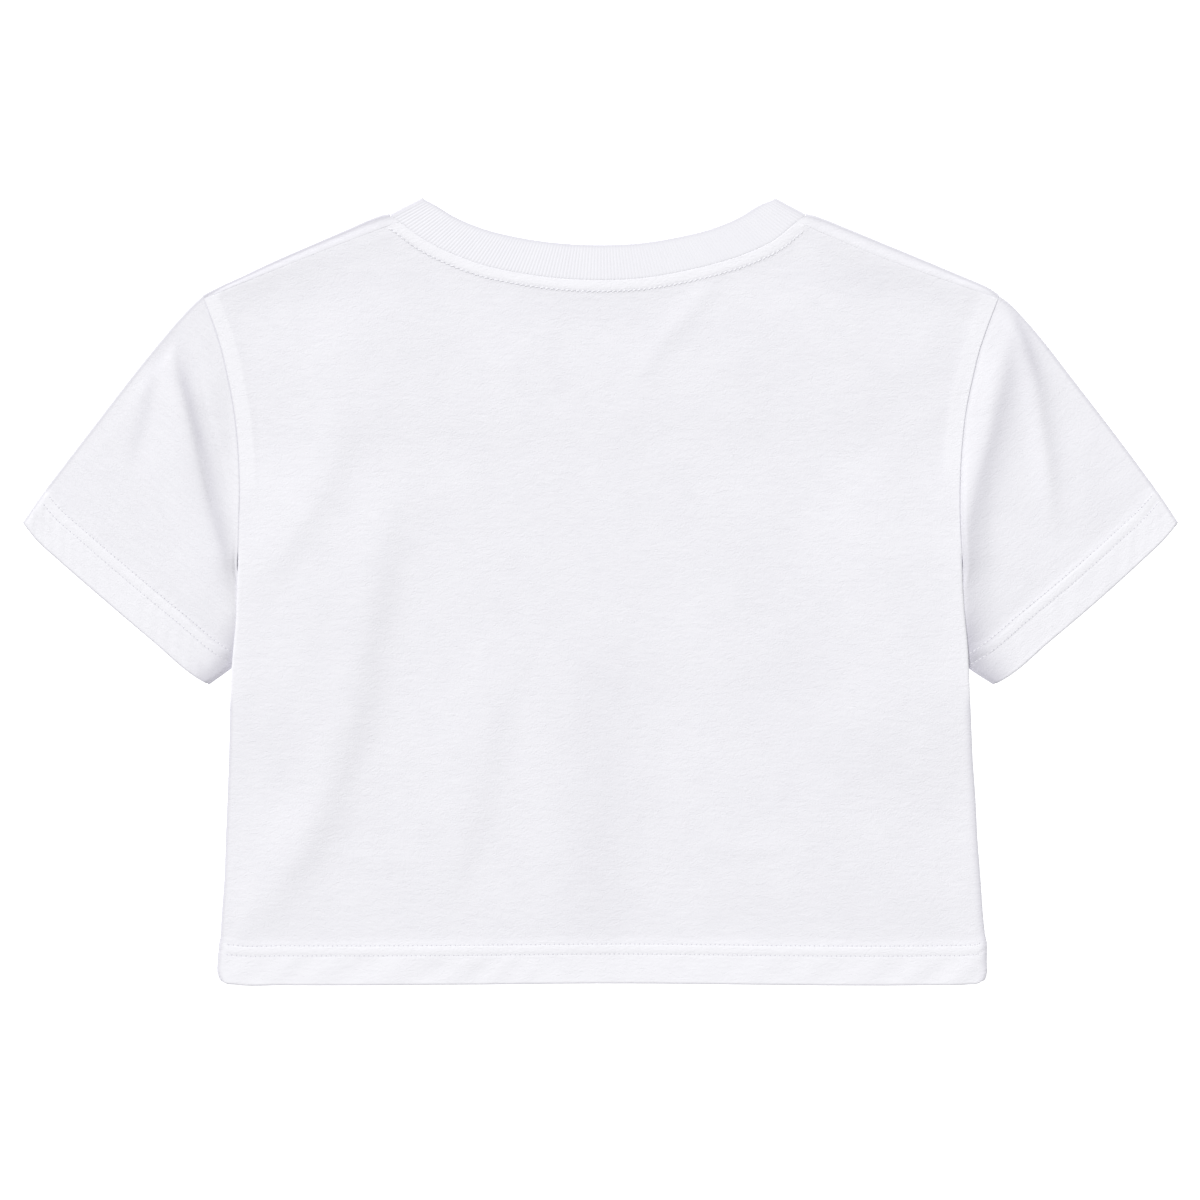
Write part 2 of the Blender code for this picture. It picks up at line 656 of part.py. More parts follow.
def flat_loop(upper_steps, lower_steps):
    """Places round a flattened tube: how far across, and how far round its folded edges."""
    loop = [(s, 0.0) for s in np.linspace(0, 1, upper_steps + 1)]
    loop += [(1.0, pi * k / TURN_STEPS) for k in range(1, TURN_STEPS)]
    loop += [(s, pi) for s in np.linspace(1, 0, lower_steps + 1)]
    loop += [(0.0, pi * k / TURN_STEPS) for k in range(TURN_STEPS - 1, -1, -1)]
    return np.array(loop)


def sleeve(name, side, folds, garment):
    """A flattened tube from the armhole to the cuff, worked out as the left one and mirrored."""
    mirror = np.array([-1.0, 1.0]) if side == "right" else np.array([1.0, 1.0])
    turn_out = CLOTH + LAYER_GAP / 2

    def edge(rows):
        return route(table(rows, side, "up") * mirror)

    top = shifted(edge(SLEEVE_TOP), -turn_out)
    underarm = shifted(edge(SLEEVE_UNDERARM), turn_out)
    cuff = edge(CUFF)
    heights = np.linspace(top[0, 1], ARMHOLE_MEETS_BODY, ARMHOLE_KNOTS)
    seam = np.stack([body_side(side, heights), heights], axis=1) * mirror
    tuck = table(ARMHOLE_TUCK, side, "up") * mirror
    seam = shifted(route(np.concatenate([seam, tuck[1:]])), HALF_GAP)
    seam[0], seam[-1] = top[0], underarm[0]
    cuff[0], cuff[-1] = top[-1], underarm[-1]
    loop = flat_loop(SLEEVE_UPPER_STEPS, SLEEVE_LOWER_STEPS)
    across = loop[:, 0]
    length = np.hypot(*(read(cuff, across) - read(seam, across)).T)[:, None]
    start = np.array(ARMHOLE_ROWS) / length
    end = 1 - np.array(CUFF_ROWS) / length
    between = np.linspace(0, 1, SLEEVE_MIDDLE_STEPS + 1)[1:-1]
    middle = start[:, -1:] + between * (end[:, :1] - start[:, -1:])
    down = np.concatenate([start, middle, end], axis=1)
    u = np.repeat(across[:, None], down.shape[1], axis=1)
    plan = filled(seam, cuff, top, underarm, u, down)
    x, y = plan[..., 0], plan[..., 1]
    under = upper_underside(x, y)
    edge_calm = ramp(np.minimum(u, 1 - u), *SLEEVE_FOLD_FADE)
    seam_calm = ramp(distance_to(seam, x, y), 1.0, FOLD_MARGIN)
    cuff_calm = ramp(distance_to(cuff, x, y), 0.0, CUFF_MARGIN)
    over = under + fold_height(folds, x * mirror[0], y) * edge_calm * seam_calm * cuff_calm
    angle = loop[:, 1][:, None]
    radius = (under - CLOTH) / 2
    turned = CLOTH + radius * (1 + np.cos(angle))
    z = np.where(angle == 0.0, over, turned)
    beside_top = (across < 0.5)[:, None, None]
    outwards = np.where(beside_top, side_normals(top, down, -1), side_normals(underarm, down, 1))
    plan = plan + outwards * (radius * np.sin(angle))[..., None]
    cuff_strip = 1 - ramp(distance_to(cuff, x, y), HEM_DEPTH - STEP, HEM_DEPTH)
    walls = CLOTH + HEM_RISE * cuff_strip * (angle == 0.0) * edge_calm
    net = np.concatenate([plan * mirror, z[..., None]], axis=-1)
    if side == "left":
        net, walls = net[::-1], walls[::-1]
    return shell(name, net, walls, garment["jersey"], garment, closed=True)


def side_normals(curve, fraction, turn):
    """Directions out of the cloth along one folded edge of a sleeve."""
    heading = np.gradient(curve, axis=0)
    heading /= np.hypot(*heading.T)[:, None]
    outwards = np.stack([-heading[:, 1], heading[:, 0]], axis=1) * turn
    return read(outwards, fraction)


def band_stations(rib_count):
    """Stations round the neckband: fraction along it, angle about the shoulder fold, rib height."""
    ribs = np.linspace(0, 1, 2 * rib_count + 1)
    back = [(f, 0.0, 1.0 if k % 2 else -1.0) for k, f in enumerate(ribs)]
    turn = [pi * k / TURN_STEPS for k in range(1, TURN_STEPS)]
    front = [(f, pi, 0.0) for f in np.linspace(1, 0, FRONT_NECK_STEPS + 1)]
    right_turn = [(1.0, a, 0.0) for a in turn]
    left_turn = [(0.0, a, 0.0) for a in reversed(turn)]
    return np.array(back + right_turn + front + left_turn)


def neckband(garment):
    """The folded rib band: ribbed on the back, plain where it lies under the back panel."""
    samples = np.linspace(0, 1, NECK_SAMPLES)
    seams = [along(shifted(neck, -HALF_GAP), samples) for neck in (back_neck(), front_neck())]
    free_edges = table(BACK_NECK_EDGE, "across", "up"), table(FRONT_NECK_EDGE, "across", "up")
    edges = [route(points, NECK_SAMPLES) for points in free_edges]
    middle = (seams[0] + edges[0]) / 2
    rib_count = round(np.hypot(*np.diff(middle, axis=0).T).sum() / RIB_PITCH)
    rows = band_stations(rib_count)
    centre = RIB_BAND + HALF_GAP
    turn_radius = RIB_BAND / 2 + HALF_GAP
    points = np.zeros((len(rows) + 1, len(BAND_SECTION) + 1, 3))
    for station, (fraction, angle, rib) in enumerate(rows):
        half = 0 if angle < pi / 2 else 1
        seam_point = read(seams[half], fraction)
        edge_point = read(edges[half], fraction)
        reach = (edge_point - seam_point) / np.hypot(*(edge_point - seam_point))
        outwards = np.array([-reach[1], reach[0]]) * (1 if fraction < 0.5 else -1)
        for k, (width, height, ribbed) in enumerate(BAND_SECTION):
            out = turn_radius + height * RIB_BAND / 2 + rib * ribbed * RIB_RISE
            plan = seam_point + width * (edge_point - seam_point) + outwards * out * sin(angle)
            points[station, k] = (*plan, centre + out * cos(angle))
    points[-1] = points[0]
    points[:, -1] = points[:, 0]
    net = grid_net(points, np.ones(points.shape[:2]), np.ones(points.shape[:2], bool))
    bmesh.ops.remove_doubles(net, verts=net.verts, dist=WELD * MM)
    bmesh.ops.recalc_face_normals(net, faces=net.faces)
    mesh = bpy.data.meshes.new("neckband")
    net.to_mesh(mesh)
    net.free()
    return add_object("neckband", mesh, garment["rib"], garment)


def main():
    clear_scene()
    garment = {
        "collection": collection_for("crop_top"),
        "jersey": cloth_material("white_jersey", WHITE_JERSEY),
        "rib": cloth_material("white_rib", WHITE_RIB),
        "empty": bpy.data.objects.new("crop_top_origin", None),
    }
    garment["collection"].objects.link(garment["empty"])
    front_panel(garment)
    back_panel(garment)
    sleeve("sleeve_left", "left", LEFT_SLEEVE_FOLDS, garment)
    sleeve("sleeve_right", "right", RIGHT_SLEEVE_FOLDS, garment)
    neckband(garment)


main()
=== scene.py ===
"""Cropped short-sleeve top laid flat, back up: its cloth, ribbing, stitching and finish.

X runs across the garment, Y from the hem towards the neck, Z up from the surface that it lies on.
Tables and sizes are in millimetres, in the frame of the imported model.
"""

from collections import namedtuple
from math import cos, pi, radians, sin

import bpy
import numpy as np
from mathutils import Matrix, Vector


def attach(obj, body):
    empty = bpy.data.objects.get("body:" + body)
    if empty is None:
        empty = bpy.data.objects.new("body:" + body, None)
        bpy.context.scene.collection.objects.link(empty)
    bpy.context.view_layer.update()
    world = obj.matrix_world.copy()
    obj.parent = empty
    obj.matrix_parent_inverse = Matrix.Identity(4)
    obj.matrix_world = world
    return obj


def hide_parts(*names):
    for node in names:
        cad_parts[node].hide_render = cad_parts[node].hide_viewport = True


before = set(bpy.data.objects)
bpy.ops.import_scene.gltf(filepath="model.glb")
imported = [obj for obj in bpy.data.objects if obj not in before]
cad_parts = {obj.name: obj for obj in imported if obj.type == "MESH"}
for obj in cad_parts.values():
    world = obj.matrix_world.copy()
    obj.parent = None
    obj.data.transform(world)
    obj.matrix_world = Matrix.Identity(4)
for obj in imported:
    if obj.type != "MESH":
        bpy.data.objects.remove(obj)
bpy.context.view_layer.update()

MM = 0.001
SIDES = ("left", "right")

# Walls and clearances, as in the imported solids
CLOTH = 1.2  # one layer of jersey, as a wall
RIB_BAND = 1.8  # the neckband, folded double
HALF_GAP = 0.15  # half the gap between pieces at a seam
SEWN = 0.006  # sewn edges of the cloth lie this far from their seam line
LAYER_GAP = 0.4  # between one layer and the next
LAYER = CLOTH + LAYER_GAP
HEM_RISE = 0.6  # turned hems stand this far above the single cloth
HEM_STEP = 4.0  # run over which they fall back to it
NECK_STRIP = 7.3  # neck seam to its topstitching
NECK_STRIP_RISE = 0.45
NECK_STRIP_STEP = 2.0
ARMHOLE_STRIP = 10.2
ARMHOLE_STRIP_RISE = 0.4
ARMHOLE_STRIP_FADE = (45.0, 100.0)  # heights between which the armhole strip fades in
ARMHOLE_STRIP_STEP = 3.2
STEP = 1.2  # run over which a sharper step rises
TUCK_RISE = 2 * LAYER + HEM_RISE  # the body panels ride this far over the tucked sleeve
TURN_OUT = CLOTH + LAYER_GAP / 2  # from a folded edge's outline in to its inner net

# Fine relief of the sewn places
EDGE_ROUND = 1.1  # a cut or turned edge is rounded over this width
EDGE_LEAST = 0.3  # share of the wall left at its very edge
TURNED_CORNER = 0.85  # and where that edge turns over at a cuff's corner
SEAM_ROUND = 0.5  # the cloth dips over this width beside a seam
SEAM_LEAST = 0.84  # share of the wall left there
SHOULDER_SEAM_LEAST = 0.95
TWIN_ROWS = (18.9, 25.2)  # twin-needle rows, from the hem or cuff edge
TUNNEL_RISE = 0.2  # the cloth swells this much between the two rows
GROOVE_DEPTH = 0.12  # a row of stitches sinks into the cloth
NECK_GROOVE_DEPTH = 0.24
GROOVE_WIDTH = 0.6
LIP_RISE = 0.15  # soft lip outside the neck topstitching
LIP_WIDTH = 1.4
STRIP_SWELL = 0.15
HEM_RIPPLES = (0.55, 31.0, -0.6)  # height, pitch and slant of the ripples below the twin rows
CUFF_RIPPLES = {"left": (0.55, 11.0, 0.9), "right": (0.25, 17.0, 0.9)}
HEM_SEED = 31
CUFF_SEED = {"left": 41, "right": 51}
RIPPLE_WANDER = 5.0  # how unevenly ripples follow one another, in radians
RIPPLE_WANDER_REACH = 3.0  # pitches over which that changes
RIPPLE_SWELL_REACH = 4.0  # and over which their height does
PUCKER = 0.07  # small gathers beside a row of stitches
PUCKER_PITCH = 8.0
PUCKER_REACH = 6.0
SHOULDER_LIFT = 1.3  # the allowances hold both panels up along the shoulder seam
SHOULDER_LIFT_RUN = 13.0
SHOULDER_LIFT_ENDS = 0.16  # share of the seam over which the lift rises at each end
SHOULDER_RIDGE = 0.17  # the shoulder seam's allowances lift the cloth above it
SHOULDER_RIDGE_PLACE = 1.92  # distance of that ridge's crest from the seam
SHOULDER_RIDGE_WIDTH = 1.6

# Marks for the finishes: widths and tones of the painted shade, a dark line along a turned edge, a
# rolled fold and a seam, of the painted highlight by the sides, and of the whiter strips
# painted shade along turned edges and the body's side edges
EDGE_LINE = 0.8
SIDE_LINE = {"left": 1.4, "right": 3.1}
SIDE_TONE = {"left": 3.2, "right": 1.2}
SIDE_LINE_FADE = (-74.0, -62.0)  # heights between which the side line fades, above the sleeves
# painted shade along each seam's dip
SEAM_LINE = 0.45
SEAM_TONE = 1.1
# painted shade along the neckband's free edge and in its rib valleys
RIB_EDGE_LINE = 1.6
RIB_EDGE_TONE = 1.5
RIB_VALLEY_TONE = 0.1
# painted shade along the neck seam and in the groove of the neck topstitching
NECK_SEAM_TONE = 0.3
NECK_ROW_TONE = 0.2
NECK_ROW_LINE = 0.9
# painted shade along the cuffs, the shoulder folds and the rolled folds
CUFF_TONE = {"left": 1.7, "right": 1.0}
SHOULDER_LINE_TONE = 1.0
ROLL_WIDTH = 4.5
ROLL_TONE = {"left": 0.7, "right": 0.25, "neck": 0.25}
EDGE_HIGHLIGHT = 0.6  # painted highlight: the raised side edges beside the tucked sleeves are drawn whiter, as if lit
EDGE_HIGHLIGHT_RUN = {"left": 8.0, "right": 26.0}
EDGE_HIGHLIGHT_FADE = (-150.0, -60.0)  # heights between which that comes in
EDGE_HIGHLIGHT_TOP = (10.0, 60.0)  # and between which it goes
STRIP_TONE = 1.2  # a seam's strip is whiter than the doubled hem
TUNNEL_TONE = 0.45  # and so is the tunnel between the twin rows
SLEEVE_TONE = 0.04  # the sleeves are a little whiter than the single cloth of the body

# Soft height of the whole cloth
LOFT = 2.0  # the middle of each piece lies this much above its edges
LOFT_RUN = 70.0
LOFT_HEM_RUN = 150.0
SIDE_ROLL = 0.5  # the back panel rises this much beyond its left rolled edge
SIDE_ROLL_RUN = 10.0
SIDE_ROLL_HEM_FADE = (26.0, 60.0)  # heights above the hem between which that comes in
SLEEVE_LOFT = 1.2
SLEEVE_LOFT_RUN = 0.3  # share of the sleeve's width
DRIFTS = ((46.0, 0.32, 11), (21.0, 0.13, 12), (9.5, 0.05, 13))  # uneven cloth: size, height, seed
LATTICE = 96  # cells each way of the uneven field

# Stitches: pitch of a row, a stitch's sizes, how far its middle lies above the groove's floor and
# its turn from the row in degrees
Stitch = namedtuple("Stitch", "pitch length width height lift slant")
HEM_STITCH = Stitch(3.0, 2.3, 0.62, 0.30, 0.02, 14.0)
CUFF_STITCH = Stitch(2.95, 2.3, 0.55, 0.26, 0.0, 0.0)
NECK_STITCH = Stitch(3.27, 2.9, 1.0, 0.50, 0.2, 22.0)
STITCH_ENDS = (0.1, 0.9)  # shares of the pitch where a stitch is laid on its row
STITCH_DIP = 0.3
STITCH_FULLNESS = 0.35  # a stitch is this much wider beside its waist
STITCH_WAIST = 1 / 3  # share of its half length taken by the waist
STITCH_SEGMENTS = 8
STITCH_RINGS = 7
HOLE_SHADE_SIZE = 0.8  # a dark flattened ball after each stitch, painted shade of its needle hole
HOLE_SHADE_THICKNESS = 0.14
HOLE_SHADE_LIFT = 0.05
UNDER_SINK = 0.28  # middle height of the stitches sunk in the underside
ROW_END = 3.0  # rows stop this far from a rolled edge
ROW_CLEARANCE = 1.0  # and the neck's row this far below the shoulder seams
FRONT_NECK_ROW_SHARES = (0.04, 0.96)  # where the front neck's row starts and stops

# Ribs of the neckband
RIB_PITCH = 2.03
RIB_RISE = 0.1
RIB_SAMPLES = 6
RIB_SHARPNESS = 0.7
FRONT_RIB_SAMPLES = 4

# Corners and folded edges
FOLD_CLEARANCE = 0.45  # more room for the band where both turn over the shoulder
CORNER_STEP = 0.012  # share of the gap left between shoulder wrap and neckband at their corner
CORNER_REACH = 0.3  # the shoulder reaches this far over the sleeve at the armhole corner
SLEEVE_CORNER = 1.4  # and the sleeve's top fold this far towards the shoulder
TURN_STEPS = 8  # faces round each folded edge

# How the nets are divided
CURVE_SAMPLES = 241
SHOULDER_SAMPLES = 101
NECK_SAMPLES = 401
OVERSAMPLE = 4  # a route is first drawn this many times finer
THIN = 4  # every fourth sample of a line is enough to measure distances from it
NECK_START = 0.25  # fraction of a panel's width where its shoulder meets its neck
TOP_EDGE_STEPS = 2 * (NECK_SAMPLES - 1)
TOP_SHARE = (0.9, 1.0)  # fractions up a panel between which its rows turn to follow the top edge
TINY = 1e-6
WELD = 0.01
CREASE_ANGLE = 55.0
BODY_STEP = 2.3  # faces across the back
ROW_STEP = 3.0
UNDER_STEP = 4.5  # and across the front, which lies underneath
SLEEVE_STEP = 1.5
HEM_LINES = (0.0, 0.2, 0.5, 1.0, 1.7, 3.0, 5.5, 8.5, 11.5, 14.5, 16.6, 17.7, 18.4, 18.9, 19.4, 20.1,
             21.1, 22.1, 23.2, 24.2, 24.7, 25.2, 25.7, 26.3, 27.2, 29.0, 31.5)
TOP_LINES = (12.5, 10.6, 9.4, 8.6, 8.1, 7.7, 7.3, 6.9, 6.3, 5.2, 3.7, 2.2, 1.1, 0.5, 0.2, 0.0)
ARMHOLE_LINES = (0.0, 0.2, 0.5, 1.1, 2.0, 3.4, 5.4, 8.0)
UPPER_FROM = 322.0  # height above the hem where the even rows start to follow the top edge
LIP_STEPS = (3, 3, 3, 4, 6)
WRAP_SHARES = (0.15, 0.35, 0.55, 0.72, 0.85, 0.93, 0.97, 1.0)
FRONT_SIDE_COLUMNS = (0.0, 1.0, 2.5, 5.0, 8.0, 11.0)
CUFF_TRIM = 3  # samples of the cuff left out where the folded edges turn
ARMHOLE_KNOTS = 11  # points of the body's armhole edge that a sleeve's seam is drawn through
SLEEVE_EDGE_SHARES = (0.0, 0.004, 0.01, 0.02, 0.03)  # columns beside a sleeve's folded edges
SLEEVE_UPPER_STEPS = 128
SLEEVE_LOWER_STEPS = 44
COURSE_MAP = "Courses"  # UV map that lies along the knit's courses
COURSE_POINT = 4  # point of the neckband's section whose run measures its courses

LipRow = namedtuple("LipRow", "place side armhole drop")
SectionPoint = namedtuple("SectionPoint", "width height ribbed")
Edge = namedtuple("Edge", "up left right")
Point = namedtuple("Point", "across up")
Fold = namedtuple(
    "Fold", "line height left_width right_width left_power right_power", defaults=(2.0, 2.0)
)


def rows_of(kind, *rows):
    """A table's rows, each given as a plain tuple."""
    return [kind(*row) for row in rows]


# The back panel's rolled side edge: each column's place across, its distance in from the outline
# beside the side seam and beside the armhole, and how far its inner side drops.
LIP = rows_of(
    LipRow,
    (0.1, 1.2, 0.02, 1.3), (0.4, 1.2, 1.0, 0.4), (1.2, 1.45, 2.4, 0.1), (2.4, 2.4, 4.0, 0.0),
    (6.0, 6.0, 9.0, 0.0), (11.0, 11.0, 11.0, 0.0),
)
LIP_FADE = (17.0, 29.0)  # heights between which the rolled edge opens out to the armhole

# How far the front panel's edges lie inside the outline, and the heights over which its sides
# come out to the armhole seam
FRONT_INSET = 1.7
FRONT_HEM_INSET = 0.8
FRONT_INSET_FADE = (9.0, 22.0)

# The neckband's cross-section: fraction of its width from the seam, height from its middle in
# half thicknesses, and how much of the rib it carries.
BAND_SECTION = rows_of(
    SectionPoint,
    (0.0, 0.72, 0.4), (0.012, 0.86, 0.8), (0.035, 0.95, 1.0), (0.08, 0.99, 1.0), (0.2, 1.0, 1.0),
    (0.4, 1.0, 1.0), (0.6, 1.0, 1.0), (0.8, 1.0, 1.0), (0.9, 0.98, 0.8), (0.945, 0.9, 0.4),
    (0.975, 0.7, 0.1), (0.993, 0.36, 0.0), (1.0, 0.0, 0.0), (0.993, -0.36, 0.0),
    (0.975, -0.7, 0.0), (0.93, -0.93, 0.0), (0.8, -1.0, 0.0), (0.4, -1.0, 0.0),
    (0.06, -0.98, 0.0), (0.0, -0.7, 0.0),
)

# Side seams from the hem, then the armhole seams from the underarm (up 0) to the shoulder.
BODY_SIDES = rows_of(
    Edge,
    (-247.0, -240.7, 243.9), (-243.5, -242.4, 245.4), (-234.0, -242.6, 245.5),
    (-221.5, -241.3, 245.0), (-208.8, -240.7, 243.7), (-183.0, -238.8, 241.8),
    (-158.0, -237.9, 239.9), (-132.5, -236.9, 238.6), (-107.0, -235.8, 236.7),
    (-82.0, -235.0, 235.5), (-56.4, -234.3, 234.3), (-36.0, -232.7, 233.4),
    (-16.4, -230.9, 231.6), (0.0, -230.3, 230.4), (22.4, -229.5, 229.5), (41.0, -229.2, 228.6),
    (60.0, -228.7, 228.4), (80.0, -229.2, 229.1), (99.0, -230.5, 230.6), (118.0, -232.9, 233.1),
    (135.0, -236.2, 236.7), (152.0, -240.0, 240.8), (170.3, -245.7, 247.0), (185.6, -251.6, 252.9),
)

HEM = rows_of(
    Point,
    (-240.7, -247.0), (-238.5, -248.8), (-232.0, -249.9), (-200.0, -250.3), (-90.0, -250.0),
    (0.0, -249.2), (60.0, -249.5), (100.0, -250.0), (215.0, -250.2), (234.0, -249.8),
    (241.0, -248.8), (243.4, -247.0),
)

# Shoulder folds: the outline's upper edge, where the front panel turns over to the back.
SHOULDER_FOLDS = {
    "left": rows_of(
        Point,
        (-252.0, 188.1), (-244.5, 192.2), (-228.6, 199.5), (-211.5, 207.7), (-176.5, 223.0),
        (-158.8, 230.4), (-142.2, 237.4), (-133.7, 239.6),
    ),
    "right": rows_of(
        Point,
        (130.9, 239.6), (138.4, 237.6), (156.2, 230.7), (175.3, 223.0), (212.7, 207.6),
        (228.6, 200.9), (238.1, 197.0), (248.3, 192.4), (253.3, 188.1),
    ),
}

# Shoulder seams, on the back just below those folds, from the armhole to the neck seam.
LEFT_SHOULDER_SEAM = rows_of(Point, (-251.6, 185.6), (-176.0, 216.0), (-127.2, 234.6))
RIGHT_SHOULDER_SEAM = rows_of(Point, (124.9, 234.5), (163.0, 218.0), (252.9, 185.6))

# Neck seam, where the rib band meets the panels, from the left shoulder fold to the right.
BACK_NECK_SEAM = rows_of(
    Point,
    (-132.6, 237.9), (-127.2, 234.6), (-114.3, 225.0), (-93.3, 214.2), (-71.8, 206.5),
    (-50.8, 202.1), (-25.0, 198.7), (0.0, 197.6), (25.0, 198.7), (52.7, 203.2), (74.3, 208.4),
    (95.3, 215.4), (111.1, 223.2), (124.9, 234.5), (129.9, 237.9),
)
FRONT_NECK_SEAM = rows_of(
    Point,
    (-132.6, 237.9), (-132.3, 222.0), (-126.5, 198.0), (-112.0, 173.0), (-88.0, 150.5),
    (-50.0, 133.0), (0.0, 127.0), (48.0, 133.0), (86.0, 150.5), (109.5, 173.0), (123.8, 198.0),
    (129.6, 222.0), (129.9, 237.9),
)

# The neckband's free edge, on the same two routes.
BACK_NECK_EDGE = rows_of(
    Point,
    (-111.6, 248.8), (-104.8, 245.3), (-92.7, 238.0), (-74.9, 230.5), (-50.0, 224.4),
    (-25.0, 221.0), (0.0, 219.9), (25.0, 221.0), (48.0, 224.6), (71.8, 230.5), (89.5, 238.0),
    (101.6, 245.3), (110.0, 248.6),
)
FRONT_NECK_EDGE = rows_of(
    Point,
    (-111.6, 248.8), (-110.0, 226.0), (-104.0, 205.0), (-92.0, 184.0), (-72.0, 166.0),
    (-40.0, 153.0), (0.0, 149.0), (39.0, 153.0), (70.5, 166.0), (90.5, 184.0), (102.5, 205.0),
    (108.5, 226.0), (110.0, 248.6),
)

# Sleeve edges, a column for each side: the top fold down to the cuff, the cuff, and the underarm
# fold, whose inner end is tucked under the body.
SLEEVE_TOP = rows_of(
    Edge,
    (186.9, -253.4, 254.8), (184.6, -256.0, 258.2), (172.2, -268.0, 270.5),
    (159.5, -278.8, 281.3), (134.1, -299.3, 301.0), (108.7, -318.8, 320.6), (83.3, -338.3, 339.7),
    (57.9, -357.3, 358.1), (43.6, -366.9, 367.5),
)
CUFF = rows_of(
    Edge,
    (43.6, -366.9, 367.5), (32.5, -358.1, 358.1), (19.8, -344.2, 344.8), (-5.6, -315.0, 316.8),
    (-31.0, -285.1, 287.0), (-56.4, -254.0, 255.9), (-59.4, -248.6, 250.2),
)
SLEEVE_UNDERARM = rows_of(
    Edge,
    (-8.0, -214.6, 214.6), (-22.0, -213.4, 213.4), (-37.3, -219.5, 219.5), (-48.7, -233.7, 233.7),
    (-59.4, -248.6, 250.2),
)

# Where the sleeve's armhole edge leaves the body's and goes under it.
ARMHOLE_TUCK = rows_of(Edge, (12.0, -230.0, 230.0), (0.0, -226.0, 226.0), (-8.0, -214.6, 214.6))
ARMHOLE_MEETS_BODY = 12.0

# Soft folds: crest lines with their height, negative for a trough, the reach of each flank, left
# being towards -X, or upwards for a crest that runs level, and how round each flank is: 2 is a
# soft roll, 1 a sharp crease.
BACK_FOLDS = [
    Fold([(-122.0, 100.0), (-127.0, 78.0), (-138.0, 40.0), (-144.0, 4.0), (-152.0, -34.0),
          (-156.0, -60.0), (-160.0, -85.0), (-168.0, -108.0), (-176.0, -130.0), (-184.0, -151.0),
          (-196.0, -170.0), (-208.0, -188.0), (-222.0, -205.0), (-262.0, -242.0)],
         1.6, 17.0, 13.0),
    Fold([(-100.0, 70.0), (-115.0, 30.0), (-121.0, 4.0), (-128.0, -34.0), (-133.0, -53.0),
          (-137.0, -72.0), (-141.0, -91.0), (-149.0, -112.0), (-154.0, -132.0), (-161.0, -152.0),
          (-171.0, -173.0), (-183.0, -193.0), (-196.0, -212.0), (-215.0, -232.0)],
         -0.65, 15.0, 32.0),
    Fold([(-150.0, 130.0), (-170.0, 90.0), (-181.0, 61.0), (-193.0, 40.0), (-205.0, 20.0),
          (-216.0, 0.0), (-228.0, -22.0)], 0.65, 24.0, 11.0),
    Fold([(-136.0, 112.0), (-154.0, 80.0), (-163.0, 58.0), (-176.0, 38.0), (-187.0, 18.0),
          (-198.0, 0.0), (-212.0, -22.0)], -0.7, 11.0, 24.0),
    Fold([(-54.0, -16.0), (-68.0, -70.0), (-76.0, -110.0), (-86.0, -150.0), (-100.0, -186.0),
          (-118.0, -226.0)], 0.7, 24.0, 13.0),
    Fold([(-34.0, -20.0), (-48.0, -70.0), (-56.0, -110.0), (-66.0, -150.0), (-80.0, -186.0),
          (-98.0, -226.0)], -0.6, 12.0, 26.0),
    Fold([(-30.0, -20.0), (-24.0, -100.0), (-20.0, -180.0), (-22.0, -250.0)], 1.1, 30.0, 26.0),
    Fold([(36.0, -20.0), (28.0, -100.0), (24.0, -180.0), (28.0, -250.0)], -1.0, 28.0, 40.0),
    Fold([(80.0, 206.0), (57.0, 179.0), (41.0, 160.0), (23.0, 130.0)], 0.7, 6.0, 7.0),
    Fold([(-66.0, 192.0), (-44.0, 172.0), (-24.0, 154.0)], 0.5, 9.0, 8.0),
    Fold([(112.0, -92.0), (152.0, -146.0), (196.0, -188.0), (232.0, -226.0)], 1.1, 30.0, 11.0),
    Fold([(236.0, 180.0), (204.0, 151.0), (160.0, 116.0)], 0.25, 13.0, 10.0),
    Fold([(228.0, 132.0), (196.0, 98.0), (156.0, 54.0)], 0.3, 14.0, 11.0),
    Fold([(-176.0, -164.0), (-140.0, -172.0), (-104.0, -170.0)], 0.35, 5.0, 6.0),
    Fold([(56.0, -156.0), (92.0, -164.0), (130.0, -158.0)], 0.35, 5.0, 6.0),
]
SLEEVE_FOLDS = {
    "left": [
        Fold([(-271.0, 186.0), (-270.8, 150.0), (-269.2, 134.0), (-265.2, 118.5), (-260.4, 99.0),
              (-255.8, 79.0), (-250.8, 58.0), (-245.0, 37.0), (-240.0, 16.0), (-236.0, -10.0),
              (-232.0, -50.0)], 3.3, 22.0, 7.4),
        Fold([(-268.0, 176.0), (-267.4, 146.0), (-265.8, 133.0), (-261.6, 118.0), (-256.8, 98.0),
              (-252.0, 78.0), (-245.0, 48.0), (-237.0, 20.0)], -1.1, 2.6, 4.2, 1.6, 1.6),
        Fold([(-262.0, 186.0), (-269.0, 166.0), (-276.0, 149.0), (-281.0, 133.0), (-284.0, 116.0),
              (-288.5, 100.0), (-294.0, 83.0), (-304.0, 52.0)], -0.65, 6.0, 15.0),
        Fold([(-256.0, 154.0), (-251.0, 122.0), (-243.6, 94.0), (-237.6, 70.0), (-233.0, 46.0)],
             -0.2, 1.6, 2.4),
    ],
    "right": [
        Fold([(266.0, 194.0), (257.0, 150.0), (252.0, 130.0), (248.4, 114.0), (246.0, 100.0),
              (242.3, 88.0), (238.0, 72.0), (235.2, 58.0), (232.0, 44.0), (230.4, 30.0),
              (229.0, 0.0), (226.0, -50.0)], 2.1, 12.0, 9.0, 2.0, 1.7),
        Fold([(246.0, 226.0), (257.0, 192.0), (264.4, 168.0), (269.8, 151.0), (274.6, 134.2),
              (277.2, 120.2), (280.2, 99.9), (283.2, 79.6), (286.2, 57.9), (289.0, 24.0)],
             2.6, 7.0, 6.5, 2.0, 1.5),
        Fold([(334.0, 82.0), (346.0, 66.0), (354.0, 54.0)], 0.6, 10.0, 7.0),
        Fold([(300.0, 110.0), (306.0, 80.0), (308.0, 30.0)], 0.7, 14.0, 12.0),
    ],
}
